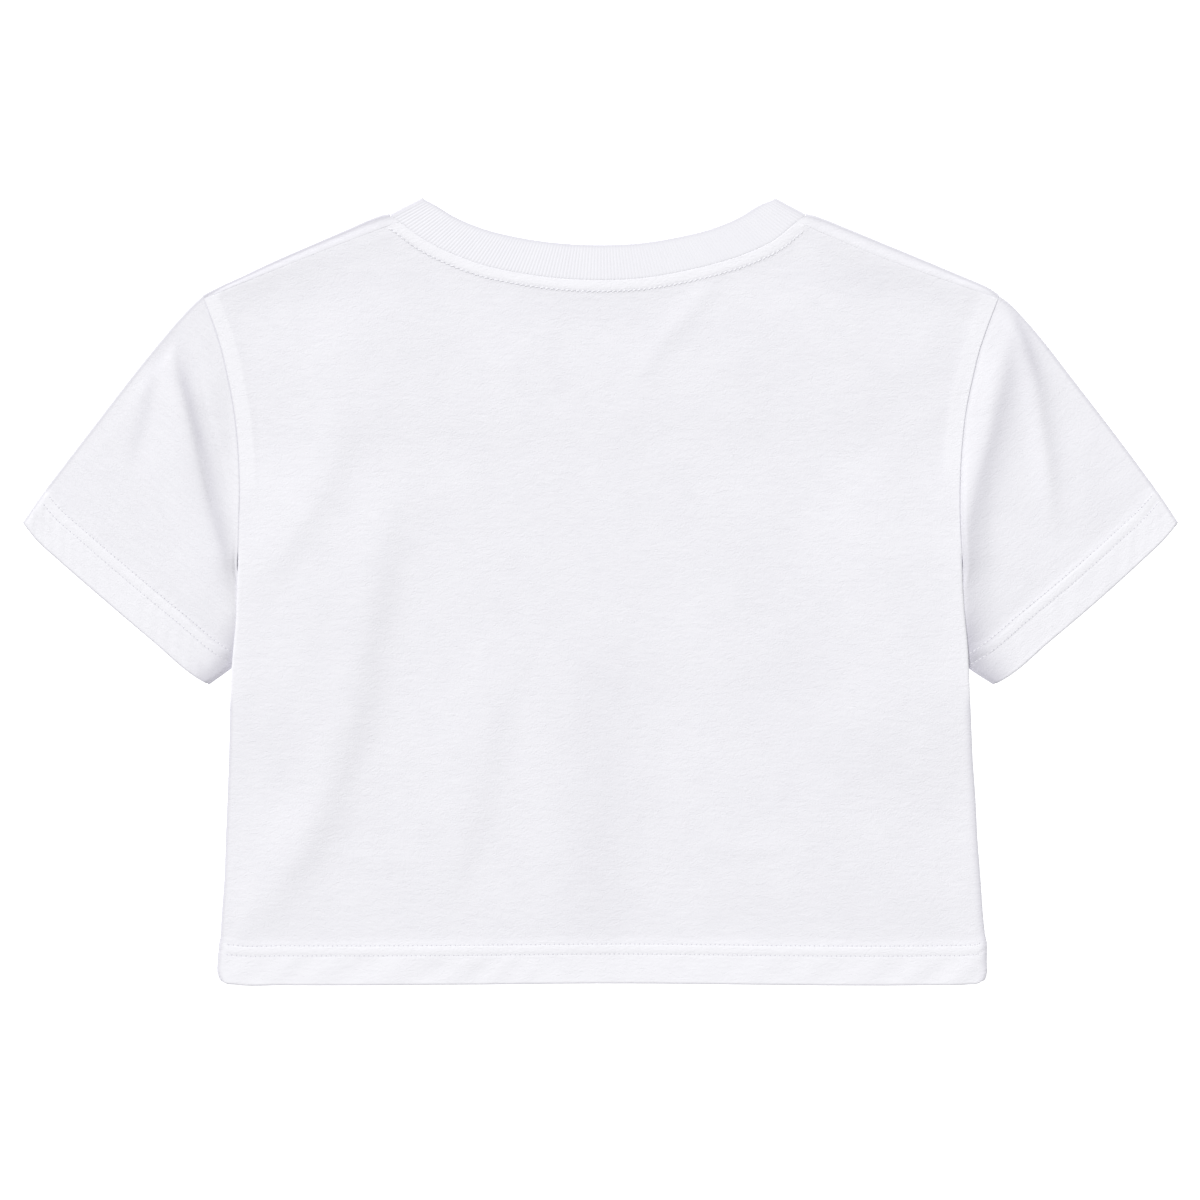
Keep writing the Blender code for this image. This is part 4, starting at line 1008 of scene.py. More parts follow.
def back_panel():
    """The uppermost panel: its side edges roll down over the front panel's."""
    left_seam, right_seam = shoulder_seams()
    edge = top_edge(left_seam, shifted(back_neck(), SEWN), right_seam)
    places = stations(range(len(LIP)), LIP_STEPS)
    rolled = {c: smooth(np.arange(len(LIP)), table(LIP, c)[:, 0], places) for c in LipRow._fields}
    across = panel_columns(rolled["place"], BODY_STEP)
    top = read(edge, across)
    slope = np.gradient(top[:, 1], top[:, 0])
    up = panel_rows(top[:, 1] - hem_height(top[:, 0]), HEM_LINES, TOP_LINES, ROW_STEP)
    steep = ramp(up, *TOP_SHARE) * (np.hypot(1, slope)[:, None] - 1)
    up = 1 - (1 - up) * (1 + steep)
    u = np.repeat(across[:, None], up.shape[1], axis=1)
    plan = panel_plan(edge, u, up)
    x, y = plan[..., 0], plan[..., 1]
    plan_x = x.copy()
    drop = np.zeros_like(x)
    at_armhole = ramp(y, *LIP_FADE)
    for k in range(len(places)):
        inset = rolled["side"][k] + at_armhole * (rolled["armhole"][k] - rolled["side"][k])
        x[k] = body_side("left", y[k]) + inset[k]
        x[-1 - k] = body_side("right", y[-1 - k]) - inset[-1 - k]
        drop[[k, -1 - k]] = rolled["drop"][k] * (1 - at_armhole[[k, -1 - k]])
    moved = np.interp(x, top[:, 0], top[:, 1]) - np.interp(plan_x, top[:, 0], top[:, 1])
    y += ramp(up, *TOP_SHARE) * moved
    net = np.stack([x, y, back_height(x, y, drop)], axis=-1)
    return cloth_shell("back_cloth", net, back_wall(x, y), plan, back_marks(x, y))


def shoulder_wrap(across, fold):
    """Rows that carry the shoulders round the fold and down to the shoulder seams."""
    left_seam, right_seam = (shifted(seam, -2 * SEWN) for seam in shoulder_seams())
    neck = shifted(whole_back_neck(), SEWN)
    left_seam[-1] = neck[0] + (left_seam[-1] - neck[0]) * (1 - CORNER_STEP)
    right_seam[0] = neck[-1] + (right_seam[0] - neck[-1]) * (1 - CORNER_STEP)
    between = np.linspace(left_seam[-1], right_seam[0], NECK_SAMPLES)
    seam = read(top_edge(left_seam, between, right_seam), across)
    steps = np.diff(fold[:, :2], axis=0)
    before, after = np.concatenate([steps[:1], steps]), np.concatenate([steps, steps[-1:]])
    heading = np.where((across < 0.5)[:, None], before, after)
    outwards = np.stack([-heading[:, 1], heading[:, 0]], axis=1) / np.hypot(*heading.T)[:, None]
    radius = (upper_underside(fold[:, 0], fold[:, 1]) - CLOTH) / 2
    rows = []
    for step in range(1, TURN_STEPS + 1):
        angle = pi * step / TURN_STEPS
        plan = fold[:, :2] + outwards * (radius * sin(angle))[:, None]
        rows.append(np.column_stack([plan, CLOTH + radius * (1 - cos(angle))]))
    start = rows[-1]
    end = np.column_stack([seam, upper_underside(*seam.T) + shoulder_lift(*seam.T)])
    rows += [start + share * (end - start) for share in WRAP_SHARES]
    wrap = np.stack(rows, axis=1)
    level = ramp(np.array(WRAP_SHARES), 0.0, 1.0)
    wrap[:, TURN_STEPS:, 2] = start[:, 2:] + level * (end[:, 2:] - start[:, 2:])
    out = CORNER_REACH * (1 - np.concatenate([np.zeros(TURN_STEPS), WRAP_SHARES]))
    wrap[0, :, 0] -= out
    wrap[-1, :, 0] += out
    inner_left = np.searchsorted(across, NECK_START + TINY) - 1
    for column, curve in ((inner_left, neck), (len(across) - 1 - inner_left, neck[::-1])):
        last = np.argmin(np.hypot(*(curve - seam[column]).T))
        wrap[column, TURN_STEPS:, :2] = along(curve[: last + 1], np.array(WRAP_SHARES))
    return wrap


def front_panel():
    """The panel on the surface. Its shoulders turn over to the shoulder seams on the back."""
    folds = {
        side: shifted(route(plan_points(SHOULDER_FOLDS[side]), SHOULDER_SAMPLES), TURN_OUT)
        for side in SIDES
    }
    neck = shifted(front_neck(), HALF_GAP)
    neck[0, 0] -= FOLD_CLEARANCE
    neck[-1, 0] += FOLD_CLEARANCE
    folds["left"][-1], folds["right"][0] = neck[0], neck[-1]
    edge = top_edge(folds["left"], neck, folds["right"])
    across = panel_columns(FRONT_SIDE_COLUMNS, UNDER_STEP)
    top = read(edge, across)
    length = top[:, 1] - hem_height(top[:, 0])
    up = panel_rows(length, HEM_LINES[::2], TOP_LINES[1::2], UNDER_STEP)
    u = np.repeat(across[:, None], up.shape[1], axis=1)
    plan = panel_plan(edge, u, up)
    x, y = plan[..., 0], plan[..., 1]
    y[:, 0] += FRONT_HEM_INSET
    inset = FRONT_INSET + ramp(y, *FRONT_INSET_FADE) * (HALF_GAP - FRONT_INSET)
    for k, place in enumerate(FRONT_SIDE_COLUMNS):
        closing = 1 - place / FRONT_SIDE_COLUMNS[-1]
        x[k] = body_side("left", y[k]) + place + inset[k] * closing
        x[-1 - k] = body_side("right", y[-1 - k]) - place - inset[-1 - k] * closing
    net = np.stack([x, y, CLOTH + TUCK_RISE * tuck_pad(x, y)], axis=-1)
    wrap = shoulder_wrap(across, net[:, -1])
    net = np.concatenate([net, wrap], axis=1)
    x, y = net[..., 0], net[..., 1]
    keep = np.ones(net.shape[:2], bool)
    on_neck = (across > NECK_START + TINY) & (across < 1 - NECK_START - TINY)
    keep[on_neck, -wrap.shape[1]:] = False
    walls = front_wall(x, y)
    walls[:, -wrap.shape[1]:] = wrap_wall(wrap[..., 0], wrap[..., 1])
    cloth = turned_over(net, walls, net[..., :2], front_marks(x, y, folds))
    return cloth_shell("front_cloth", *cloth, keep[::-1])


def front_marks(x, y, folds):
    """Where the front panel is doubled and whiter, and where painted shade greys its rolled
    shoulder folds.
    """
    from_neck = distance_to(whole_back_neck()[::2 * THIN], x, y)
    hem = band_mark(y - hem_height(x), TWIN_ROWS[1])
    # painted shade along each shoulder fold, where it rolls over
    rolled = np.zeros_like(x)
    for side, fold in folds.items():
        away = distance_to(fold[::THIN], x, y)
        rolled += SHOULDER_LINE_TONE * bell(away) + ROLL_TONE[side] * bell(away, ROLL_WIDTH)
    strip = STRIP_TONE * band_mark(from_neck, NECK_STRIP)
    return {"doubled": np.maximum(hem, strip), "turned": rolled}


def front_wall(x, y):
    """Thickness of the front panel: its outer side is flat but for the sunk rows of stitches."""
    from_neck = distance_to(front_neck()[::THIN], x, y)
    return CLOTH + (twin_grooves(y - hem_height(x)) + groove(from_neck - NECK_STRIP))


def wrap_wall(x, y):
    """Thickness of the folded-over shoulders, raised along the seam and beside the neckband."""
    from_seam = from_shoulder_seams(x, y)
    strip = neck_strip(distance_to(whole_back_neck()[::THIN], x, y))
    ridge = SHOULDER_RIDGE * bell(from_seam - SHOULDER_RIDGE_PLACE, SHOULDER_RIDGE_WIDTH)
    turned = np.arange(x.shape[1]) < TURN_STEPS // 2
    relief = np.where(turned, 0.0, np.maximum(strip, ridge))
    return (CLOTH + relief) * sewn(from_seam, SHOULDER_SEAM_LEAST)


def sleeve_lines(side):
    """A sleeve's four edges, as the left one's: top fold, armhole seam, cuff and underarm fold."""
    mirror = np.array([-1.0 if side == "right" else 1.0, 1.0])

    def edge(rows):
        return table(rows, side, "up") * mirror

    top = shifted(route(edge(SLEEVE_TOP)), -TURN_OUT)
    top[0] += SLEEVE_CORNER * (top[0] - top[2]) / np.hypot(*(top[0] - top[2]))
    underarm = shifted(route(edge(SLEEVE_UNDERARM)), TURN_OUT)
    heights = np.linspace(top[0, 1], ARMHOLE_MEETS_BODY, ARMHOLE_KNOTS)
    seam = np.stack([body_side(side, heights), heights], axis=1) * mirror
    seam = shifted(route(np.concatenate([seam, edge(ARMHOLE_TUCK)[1:]])), SEWN)
    seam[0], seam[-1] = top[0], underarm[0]
    cuff = route(edge(CUFF))[CUFF_TRIM:-CUFF_TRIM]
    cuff = along(np.concatenate([top[-1:], cuff, underarm[-1:]]), np.linspace(0, 1, CURVE_SAMPLES))
    lines = {"top": top, "seam": seam, "cuff": cuff, "underarm": underarm}
    return {**lines, "side": side, "mirror": mirror}


def sleeve_plan(lines, u, down):
    return filled(lines["seam"], lines["cuff"], lines["top"], lines["underarm"], u, down)


def from_ends(lines, x, y, thin=THIN):
    """How far each place of a sleeve is from its armhole seam and from its cuff."""
    return [distance_to(lines[line][::thin], x, y) for line in ("seam", "cuff")]


def sleeve_height(lines, u, x, y):
    """Height of the inner side of the sleeve's upper layer, given as the left one's places."""
    from_edge = np.minimum(u, 1 - u)
    from_seam, from_cuff = from_ends(lines, x, y)
    at_edge = ramp(from_edge, *SLEEVE_FOLD_FADE)
    calm = at_edge * ramp(from_seam, SEAM_CALM, FOLD_MARGIN)
    loft = SLEEVE_LOFT * ramp(from_edge, 0.0, SLEEVE_LOFT_RUN)
    loft = loft * ramp(from_seam, SEAM_CALM, WIDE_MARGIN) * ramp(from_cuff, 0.0, CUFF_MARGIN)
    real_x = x * lines["mirror"][0]
    outside = -from_sides(real_x, y)
    open_cloth = ramp(from_cuff, 0.0, CUFF_MARGIN) * ramp(outside, *TUCK_FADE)
    lift = fold_height(SLEEVE_FOLDS[lines["side"]], real_x, y) * open_cloth
    lift = calm * (lift + unevenness(real_x, y) * ramp(from_cuff, 0.0, FOLD_MARGIN))
    above = ramp(y, *SEAM_RISE_FADE)
    bulge = BULGE * (1 - above) * ramp(outside, *BULGE_RUN) * bell(outside, SEAM_RISE_RUN)
    bulge = bulge * at_edge * ramp(from_cuff, 0.0, BULGE_CUFF)
    rise = TUCK_RISE * tuck_pad(real_x, y) * (above * bell(from_seam, SEAM_RISE_RUN) + bulge)
    return upper_underside(x, y) + np.maximum(loft + lift, LEAST_HEIGHT) + rise


def sleeve_wall(lines, x, y, u, angle):
    """Thickness of a sleeve's wall, by its angle round the folded edges: 0 is the upper layer."""
    from_seam, from_cuff = from_ends(lines, x, y, THIN // 2)
    side, cuff = lines["side"], lines["cuff"]
    place = u * np.linalg.norm(cuff[-1] - cuff[0])
    calm = ramp(np.minimum(u, 1 - u), 0.0, SLEEVE_FOLD_FADE[0])
    upper = twin_stitched(from_cuff, place, CUFF_SEED[side], *CUFF_RIPPLES[side]) * calm
    relief = np.where(angle == 0.0, upper, twin_grooves(from_cuff))
    least = np.where((angle > 0) & (angle < pi), TURNED_CORNER, EDGE_LEAST)
    return (CLOTH + relief) * rounded(from_cuff, least=least) * sewn(from_seam)


def flat_loop():
    """Places round a flattened tube: how far across, and how far round its folded edges."""
    *edge, last = SLEEVE_EDGE_SHARES
    upper = np.linspace(last, 1 - last, SLEEVE_UPPER_STEPS)
    across = np.concatenate([edge, upper, 1 - np.array(edge[::-1])])
    loop = [(s, 0.0) for s in across]
    loop += [(1.0, pi * k / TURN_STEPS) for k in range(1, TURN_STEPS)]
    loop += [(s, pi) for s in np.linspace(1, 0, SLEEVE_LOWER_STEPS + 1)]
    loop += [(0.0, pi * k / TURN_STEPS) for k in range(TURN_STEPS - 1, -1, -1)]
    return np.array(loop)


def sleeve_marks(lines, x, y, u, angle):
    """Where a sleeve is doubled and whiter, and where painted shade greys its cuff, folded edges,
    seam, creases and tucked corner.
    """
    from_seam, from_cuff = from_ends(lines, x, y)
    side, cuff = lines["side"], lines["cuff"]
    width = np.hypot(*(cuff[-1] - cuff[0]))
    # painted shade along the cuff, the folded edges and the seam, and in the creases and tucked
    # corner of SLEEVE_SHADES
    from_fold = np.where(angle == 0.0, np.minimum(u, 1 - u) * width, 0.0)
    shade = fold_height(SLEEVE_SHADES[side], x * lines["mirror"][0], y)
    seam = SEAM_TONE * bell(from_seam, SEAM_LINE)
    turned = [CUFF_TONE[side] * bell(from_cuff), bell(from_fold), shade, seam]
    doubled = np.maximum(hem_mark(from_cuff), SLEEVE_TONE)
    return {"doubled": doubled, "turned": np.max(turned, axis=0)}


def sleeve_course(lines, plan):
    """The knit's own axes on a sleeve: its courses run with the cuff."""
    run = lines["cuff"][-1] - lines["cuff"][0]
    run = run / np.hypot(*run)
    return np.stack([plan @ run, plan @ np.array([-run[1], run[0]])], axis=-1)


def sleeve(side):
    """A flattened tube from the armhole to the cuff, worked out as the left one and mirrored."""
    lines = sleeve_lines(side)
    loop = flat_loop()
    across, angle = loop[:, 0], loop[:, 1][:, None]
    length = np.hypot(*(read(lines["cuff"], across) - read(lines["seam"], across)).T)[:, None]
    start = np.array(ARMHOLE_LINES) / length
    end = 1 - np.array(HEM_LINES[::-1]) / length
    steps = round((length.max() - ARMHOLE_LINES[-1] - HEM_LINES[-1]) / SLEEVE_STEP)
    middle = start[:, -1:] + np.linspace(0, 1, steps + 1)[1:-1] * (end[:, :1] - start[:, -1:])
    down = np.concatenate([start, middle, end], axis=1)
    u = np.repeat(across[:, None], down.shape[1], axis=1)
    plan = sleeve_plan(lines, u, down)
    x, y = plan[..., 0], plan[..., 1]
    radius = (upper_underside(x, y) - CLOTH) / 2
    turned = CLOTH + radius * (1 + np.cos(angle))
    z = np.where(angle == 0.0, sleeve_height(lines, u, x, y), turned)
    beside_top = (across < 0.5)[:, None, None]
    over_top, over_underarm = right_of(lines["top"]), -right_of(lines["underarm"])
    outwards = np.where(beside_top, read(over_top, down), read(over_underarm, down))
    plan = plan + outwards * (radius * np.sin(angle))[..., None]
    net = np.concatenate([plan * lines["mirror"], z[..., None]], axis=-1)
    walls, marks = sleeve_wall(lines, x, y, u, angle), sleeve_marks(lines, x, y, u, angle)
    cloth = net, walls, sleeve_course(lines, plan), marks
    if side == "left":
        cloth = turned_over(*cloth)
    return cloth_shell(f"sleeve_{side}_cloth", *cloth, closed=True)


def rib_height(place):
    """Height of 1x1 rib at a place counted in ribs, from -1 between ribs to 1 on them."""
    return 2 * abs(sin(pi * place)) ** RIB_SHARPNESS - 1


def band_stations(back_ribs, front_ribs):
    """Stations round the neckband: fraction along it, angle about the shoulder fold, rib height."""
    count = back_ribs * RIB_SAMPLES
    back = [(k / count, 0.0, rib_height(k / RIB_SAMPLES)) for k in range(count + 1)]
    count = front_ribs * FRONT_RIB_SAMPLES
    heights = [rib_height(k / FRONT_RIB_SAMPLES) - 1.0 for k in range(count + 1)]
    front = [(1 - k / count, pi, height) for k, height in enumerate(heights)]
    turn = [pi * k / TURN_STEPS for k in range(1, TURN_STEPS)]
    right_turn = [(1.0, a, -1 - sin(a / 2) ** 2) for a in turn]
    left_turn = [(0.0, a, -1 - sin(a / 2) ** 2) for a in reversed(turn)]
    return np.array(back + right_turn + front + left_turn)


def neckband():
    """The folded rib band round the neck: its back half lies on its front half."""
    samples = np.linspace(0, 1, NECK_SAMPLES)
    seams = [along(shifted(neck, -SEWN), samples) for neck in (whole_back_neck(), front_neck())]
    edges = [route(plan_points(rows), NECK_SAMPLES) for rows in (BACK_NECK_EDGE, FRONT_NECK_EDGE)]
    lengths = [np.hypot(*np.diff((s + e) / 2, axis=0).T).sum() for s, e in zip(seams, edges)]
    rows = band_stations(*(round(length / RIB_PITCH) for length in lengths))
    fraction, angle, rib = rows.T[..., None]
    at_seam, at_edge = (
        np.where(angle < pi / 2, read(back, rows[:, 0]), read(front, rows[:, 0]))
        for back, front in (seams, edges)
    )
    reach = (at_edge - at_seam) / np.hypot(*(at_edge - at_seam).T)[:, None]
    outwards = np.stack([-reach[:, 1], reach[:, 0]], axis=1) * np.where(fraction < 0.5, 1, -1)
    net = np.zeros((len(rows) + 1, len(BAND_SECTION) + 1, 3))
    for k, (width, height, ribbed) in enumerate(BAND_SECTION):
        out = RIB_BAND / 2 + HALF_GAP + height * RIB_BAND / 2 + rib * ribbed * RIB_RISE
        net[:-1, k, :2] = at_seam + width * (at_edge - at_seam) + outwards * out * np.sin(angle)
        net[:-1, k, 2] = (RIB_BAND + HALF_GAP + out * np.cos(angle))[:, 0]
    net[-1] = net[0]
    net[:, -1] = net[:, 0]
    steps = np.linalg.norm(np.diff(net[:, COURSE_POINT], axis=0), axis=1)
    from_edge = 1 - np.array([point.width for point in BAND_SECTION] + [0.0])
    from_edge = from_edge * NECKBAND_CUT["flat"][1] / MM
    length = np.concatenate([[0.0], np.cumsum(steps)])
    course = np.stack(np.meshgrid(length, from_edge, indexing="ij"), axis=-1)
    from_turn = np.minimum(rows[:, 0], 1 - rows[:, 0]) * lengths[0]
    from_turn = np.append(np.where(rows[:, 1] > 0, 0.0, from_turn), 0.0)[:, None]
    # painted shade along the free edge, over the shoulder turns and in the rib valleys
    valley = RIB_VALLEY_TONE * (1 - np.append(rows[:, 2], rows[0, 2])) / 2
    turned = [
        RIB_EDGE_TONE * bell(from_edge, RIB_EDGE_LINE)[None, :],
        ROLL_TONE["neck"] * bell(from_turn, ROLL_WIDTH),
        bell(from_turn),
        np.where(from_edge > 0, valley[:, None], 0.0),
    ]
    marks = {"turned": np.max(np.broadcast_arrays(*turned), axis=0)}
    band = grid_piece("neckband_rib", net, course, marks)
    weld(band)
    edit(band, bpy.ops.mesh.normals_make_consistent, inside=False)
    bpy.ops.object.shade_smooth_by_angle(angle=radians(CREASE_ANGLE))
    return band


def ball(size, rings):
    """Points and faces of a ball squeezed to the given sizes, in the same order every time."""
    bpy.ops.object.select_all(action="DESELECT")
    bpy.ops.mesh.primitive_uv_sphere_add(
        segments=STITCH_SEGMENTS, ring_count=rings, radius=0.5, rotation=(0, pi / 2, 0)
    )
    made = bpy.context.object
    made.scale = size[::-1]
    bpy.ops.object.transform_apply(location=False, rotation=True, scale=True)
    points = np.array([vert.co for vert in made.data.vertices])
    faces = sorted(tuple(face.vertices) for face in made.data.polygons)
    bpy.data.objects.remove(made)
    return points, faces


def one_stitch(stitch):
    """A thread stitch along X, its ends dipping into the cloth, and a dark flattened ball after it.

    The marks are 1 on that ball, the painted shade of the needle hole.
    """
    points, faces = ball((stitch.length, stitch.width, stitch.height), STITCH_RINGS)
    along_it = points[:, 0] / (stitch.length / 2)
    fullness = (1 - np.abs(along_it) ** 2) * (np.abs(along_it) > STITCH_WAIST)
    points[:, 1] *= 1 + STITCH_FULLNESS * fullness
    points[:, 2] += stitch.lift - STITCH_DIP * along_it**4
    turn = radians(stitch.slant)
    points[:, :2] = points[:, :2] @ np.array([[cos(turn), sin(turn)], [-sin(turn), cos(turn)]])
    # a dark flattened ball: painted shade of the needle hole
    hole, hole_faces = ball((HOLE_SHADE_SIZE, HOLE_SHADE_SIZE, HOLE_SHADE_THICKNESS), STITCH_RINGS // 2 + 1)
    hole += np.array([stitch.pitch / 2, 0.0, HOLE_SHADE_LIFT])
    faces += [tuple(len(points) + corner for corner in face) for face in hole_faces]
    marks = np.repeat([0.0, 1.0], [len(points), len(hole)])
    return np.concatenate([points, hole]), faces, marks


def stitching(name, rows, stitch, up=1.0):
    """Rows of stitches as one piece, each row a line of points on the cloth."""
    template, faces, marks = one_stitch(stitch)
    template = template * np.array([1.0, 1.0, up])
    if up < 0:
        faces = [face[::-1] for face in faces]
    points, polygons = [], []
    for row in rows:
        length = np.linalg.norm(np.diff(row, axis=0), axis=1).sum()
        pitches = np.arange(int(length / stitch.pitch))
        start, end = (along(row, (pitches + s) * stitch.pitch / length) for s in STITCH_ENDS)
        for first, last in zip(start, end):
            ahead = (last - first) / np.linalg.norm(last - first)
            across = np.array([-ahead[1], ahead[0], 0.0]) / np.hypot(ahead[0], ahead[1])
            turn = np.stack([ahead, across, np.cross(ahead, across)])
            base = len(points) * len(template)
            points.append((first + last) / 2 + template @ turn)
            polygons += [tuple(base + corner for corner in face) for face in faces]
    mesh = bpy.data.meshes.new(name)
    mesh.from_pydata(np.concatenate(points) * MM, [], polygons)
    add_mark(mesh, "hole", np.tile(marks, len(points)))
    mesh.shade_smooth()
    piece = bpy.data.objects.new(name, mesh)
    bpy.context.scene.collection.objects.link(piece)
    return piece


class Value:
    """A shader socket that can be reckoned with: each operator adds its Math node."""

    def __init__(self, finish, socket):
        self.finish, self.socket = finish, socket

    def math(self, operation, *others):
        sockets = dict(enumerate((self, *others)))
        return self.finish.node("ShaderNodeMath", {"operation": operation}, sockets)

    def __add__(self, other):
        return self.math("ADD", other)

    def __sub__(self, other):
        return self.math("SUBTRACT", other)

    def __mul__(self, other):
        return self.math("MULTIPLY", other)

    def __rsub__(self, other):
        return self * -1.0 + other

    __radd__ = __add__
    __rmul__ = __mul__

    def wave(self, pitch):
        """Ripples of 0 to 1, the given pitch apart."""
        return 0.5 + 0.5 * (self * (2 * pi / pitch)).math("SINE")

    def creases(self, width):
        """1 along the lines where an even noise passes its middle, falling to 0 beside them."""
        return (1.0 - (self - 0.5).math("ABSOLUTE") * (1 / width)).math("MAXIMUM", 0.0)


class Finish:
    """A material whose nodes are added one at a time."""

    def __init__(self, name, sheen):
        self.material = bpy.data.materials.new(name)
        self.material.use_nodes = True
        self.tree = self.material.node_tree
        self.shader = self.tree.nodes["Principled BSDF"]
        self.shade("Sheen Weight", sheen)
        self.shade("Sheen Roughness", SHEEN_ROUGHNESS)
        self.shade("Specular IOR Level", CLOTH_SPECULAR)

    def feed(self, socket, value):
        if isinstance(value, Value):
            self.tree.links.new(value.socket, socket)
        else:
            socket.default_value = value

    def shade(self, socket, value):
        self.feed(self.shader.inputs[socket], value)

    def node(self, kind, settings=None, sockets=None, output=0):
        made = self.tree.nodes.new(kind)
        for setting, value in (settings or {}).items():
            setattr(made, setting, value)
        for socket, value in (sockets or {}).items():
            self.feed(made.inputs[socket], value)
        return Value(self, made.outputs[output])

    def courses(self, stretch=(1.0, 1.0), turn=0.0):
        """The piece's knit coordinates, in metres, turned, then scaled along and across."""
        place = self.node("ShaderNodeUVMap", {"uv_map": COURSE_MAP})
        rotation = {"Vector": place, "Rotation": (0.0, 0.0, radians(turn))}
        turned = self.node("ShaderNodeMapping", {}, rotation)
        return self.node("ShaderNodeMapping", {}, {"Vector": turned, "Scale": (*stretch, 1.0)})

    def object_places(self):
        return self.node("ShaderNodeTexCoord", output="Object")

    def mark(self, name):
        """One of the marks that a piece was given where it was made."""
        return self.node("ShaderNodeAttribute", {"attribute_name": name}, output="Fac")

    def noise(self, place, noise):
        sockets = {column.capitalize(): value for column, value in noise._asdict().items()}
        return self.node("ShaderNodeTexNoise", {}, {"Vector": place, **sockets})

    def between(self, share, low, high):
        """Two colours mixed by a share."""
        colours = {0: share, 6: low, 7: high}
        return self.node("ShaderNodeMix", {"data_type": "RGBA"}, colours, output=2)

    def finished(self, color, roughness, height=None):
        """Feeds the shader: colour, roughness, and a relief height in millimetres."""
        self.shade("Base Color", color)
        self.shade("Roughness", roughness)
        if height is not None:
            relief = {"Strength": 1.0, "Distance": MM, "Height": height}
            self.shade("Normal", self.node("ShaderNodeBump", {}, relief))
        return self.material


def part_of(place, axis):
    """One coordinate of a place."""
    return place.finish.node("ShaderNodeSeparateXYZ", {}, {"Vector": place}, output=axis)


def jersey_finish():
    """White single jersey: faint slubs along the courses, soft crumples, fine loops and fibres."""
    cloth = Finish("white_jersey_cloth", JERSEY_SHEEN)
    plain = cloth.courses()
    slub = cloth.noise(cloth.courses(SLUB_STRETCH), SLUB)
    crumple = cloth.noise(cloth.courses(CRUMPLE_STRETCH, CRUMPLE_TURN), CRUMPLE)
    mottle = cloth.noise(plain, MOTTLE)
    fibres = cloth.noise(plain, FIBRES)
    loops = part_of(plain, 0).wave(WALE_PITCH * MM) * part_of(plain, 1).wave(COURSE_PITCH * MM)
    uneven = (slub - 0.5) * SLUB_TONE + (mottle - 0.5) * MOTTLE_TONE
    # whiter where the cloth is doubled and where the back panel carries its painted highlight
    white = SINGLE_TONE + DOUBLED_AND_HIGHLIGHT_TONE * cloth.mark("doubled") + uneven
    whole = cloth.between(white, JERSEY_SHADE, JERSEY_WHITE)
    # painted shade where the turned mark lies: edges, seams, folds and creases
    color = cloth.between(PAINTED_SHADE_TONE * cloth.mark("turned"), whole, TURNED_SHADE)
    creased = cloth.noise(cloth.courses(CREASE_STRETCH, CREASE_TURN), CREASE).creases(CREASE_WIDTH)
    creased = creased * cloth.noise(plain, CREASE_PATCHES)
    height = SLUB_RELIEF * slub + CRUMPLE_RELIEF * crumple - CREASE_RELIEF * creased
    height = height + FIBRE_RELIEF * fibres + LOOP_RELIEF * loops
    return cloth.finished(color, COTTON_ROUGHNESS + ROUGHNESS_SPREAD * mottle, height)


def rib_finish():
    """White cotton rib, a little brighter than the jersey, with fine loops on each rib."""
    rib = Finish("white_cotton_rib", JERSEY_SHEEN)
    plain = rib.courses()
    mottle = rib.noise(rib.courses(RIB_STRETCH), RIB_MOTTLE)
    fibres = rib.noise(plain, FIBRES)
    rows = part_of(plain, 1).wave(COURSE_PITCH * MM)
    whole = rib.between(mottle, RIB_SHADE, RIB_WHITE)
    # painted shade along the band's edge, over its turns and in its rib valleys
    color = rib.between(PAINTED_SHADE_TONE * rib.mark("turned"), whole, TURNED_SHADE)
    height = FIBRE_RELIEF * fibres + LOOP_RELIEF * rows
    return rib.finished(color, COTTON_ROUGHNESS + ROUGHNESS_SPREAD * mottle, height)


def thread_finish():
    """White sewing thread, twisted, with a slight gloss."""
    thread = Finish("white_sewing_thread", JERSEY_SHEEN)
    place = thread.object_places()
    tone = thread.noise(place, THREAD_MOTTLE)
    twist = (part_of(place, 0) + part_of(place, 1)).wave(THREAD_TWIST * MM)
    white = thread.between(tone, THREAD_SHADE, THREAD_WHITE)
    # painted shade of each needle hole, on the dark ball laid there
    color = thread.between(thread.mark("hole"), white, HOLE_SHADE)
    roughness = THREAD_ROUGHNESS + THREAD_ROUGHNESS_SPREAD * tone
    return thread.finished(color, roughness, THREAD_RELIEF * twist)


def floor_finish():
    """Plain pale studio floor, lit a little from below."""
    floor = Finish("pale_floor", 0.0)
    mottle = floor.noise(floor.object_places(), FLOOR_MOTTLE)
    color = floor.between(mottle, FLOOR_SHADE, FLOOR_WHITE)
    floor.shade("Emission Color", color)
    floor.shade("Emission Strength", FLOOR_GLOW)
    return floor.finished(color, FLOOR_ROUGHNESS)


def on_back(plan):
    """Points on the back panel's upper side where its stitches lie."""
    return np.column_stack([plan, back_height(*plan.T) + back_wall(*plan.T)])


def under_front(plan):
    """Points sunk in the front panel's underside where its stitches lie."""
    return np.column_stack([plan, TUCK_RISE * tuck_pad(*plan.T) + UNDER_SINK])


def hem_row(depth, short):
    """A row along the hem at a depth from its edge, stopping short of the side edges."""
    left, right = (body_side(side, hem_height(0.0) + depth) for side in SIDES)
    x = np.linspace(left + short, right - short, CURVE_SAMPLES)
    return np.stack([x, hem_height(x) + depth], axis=1)


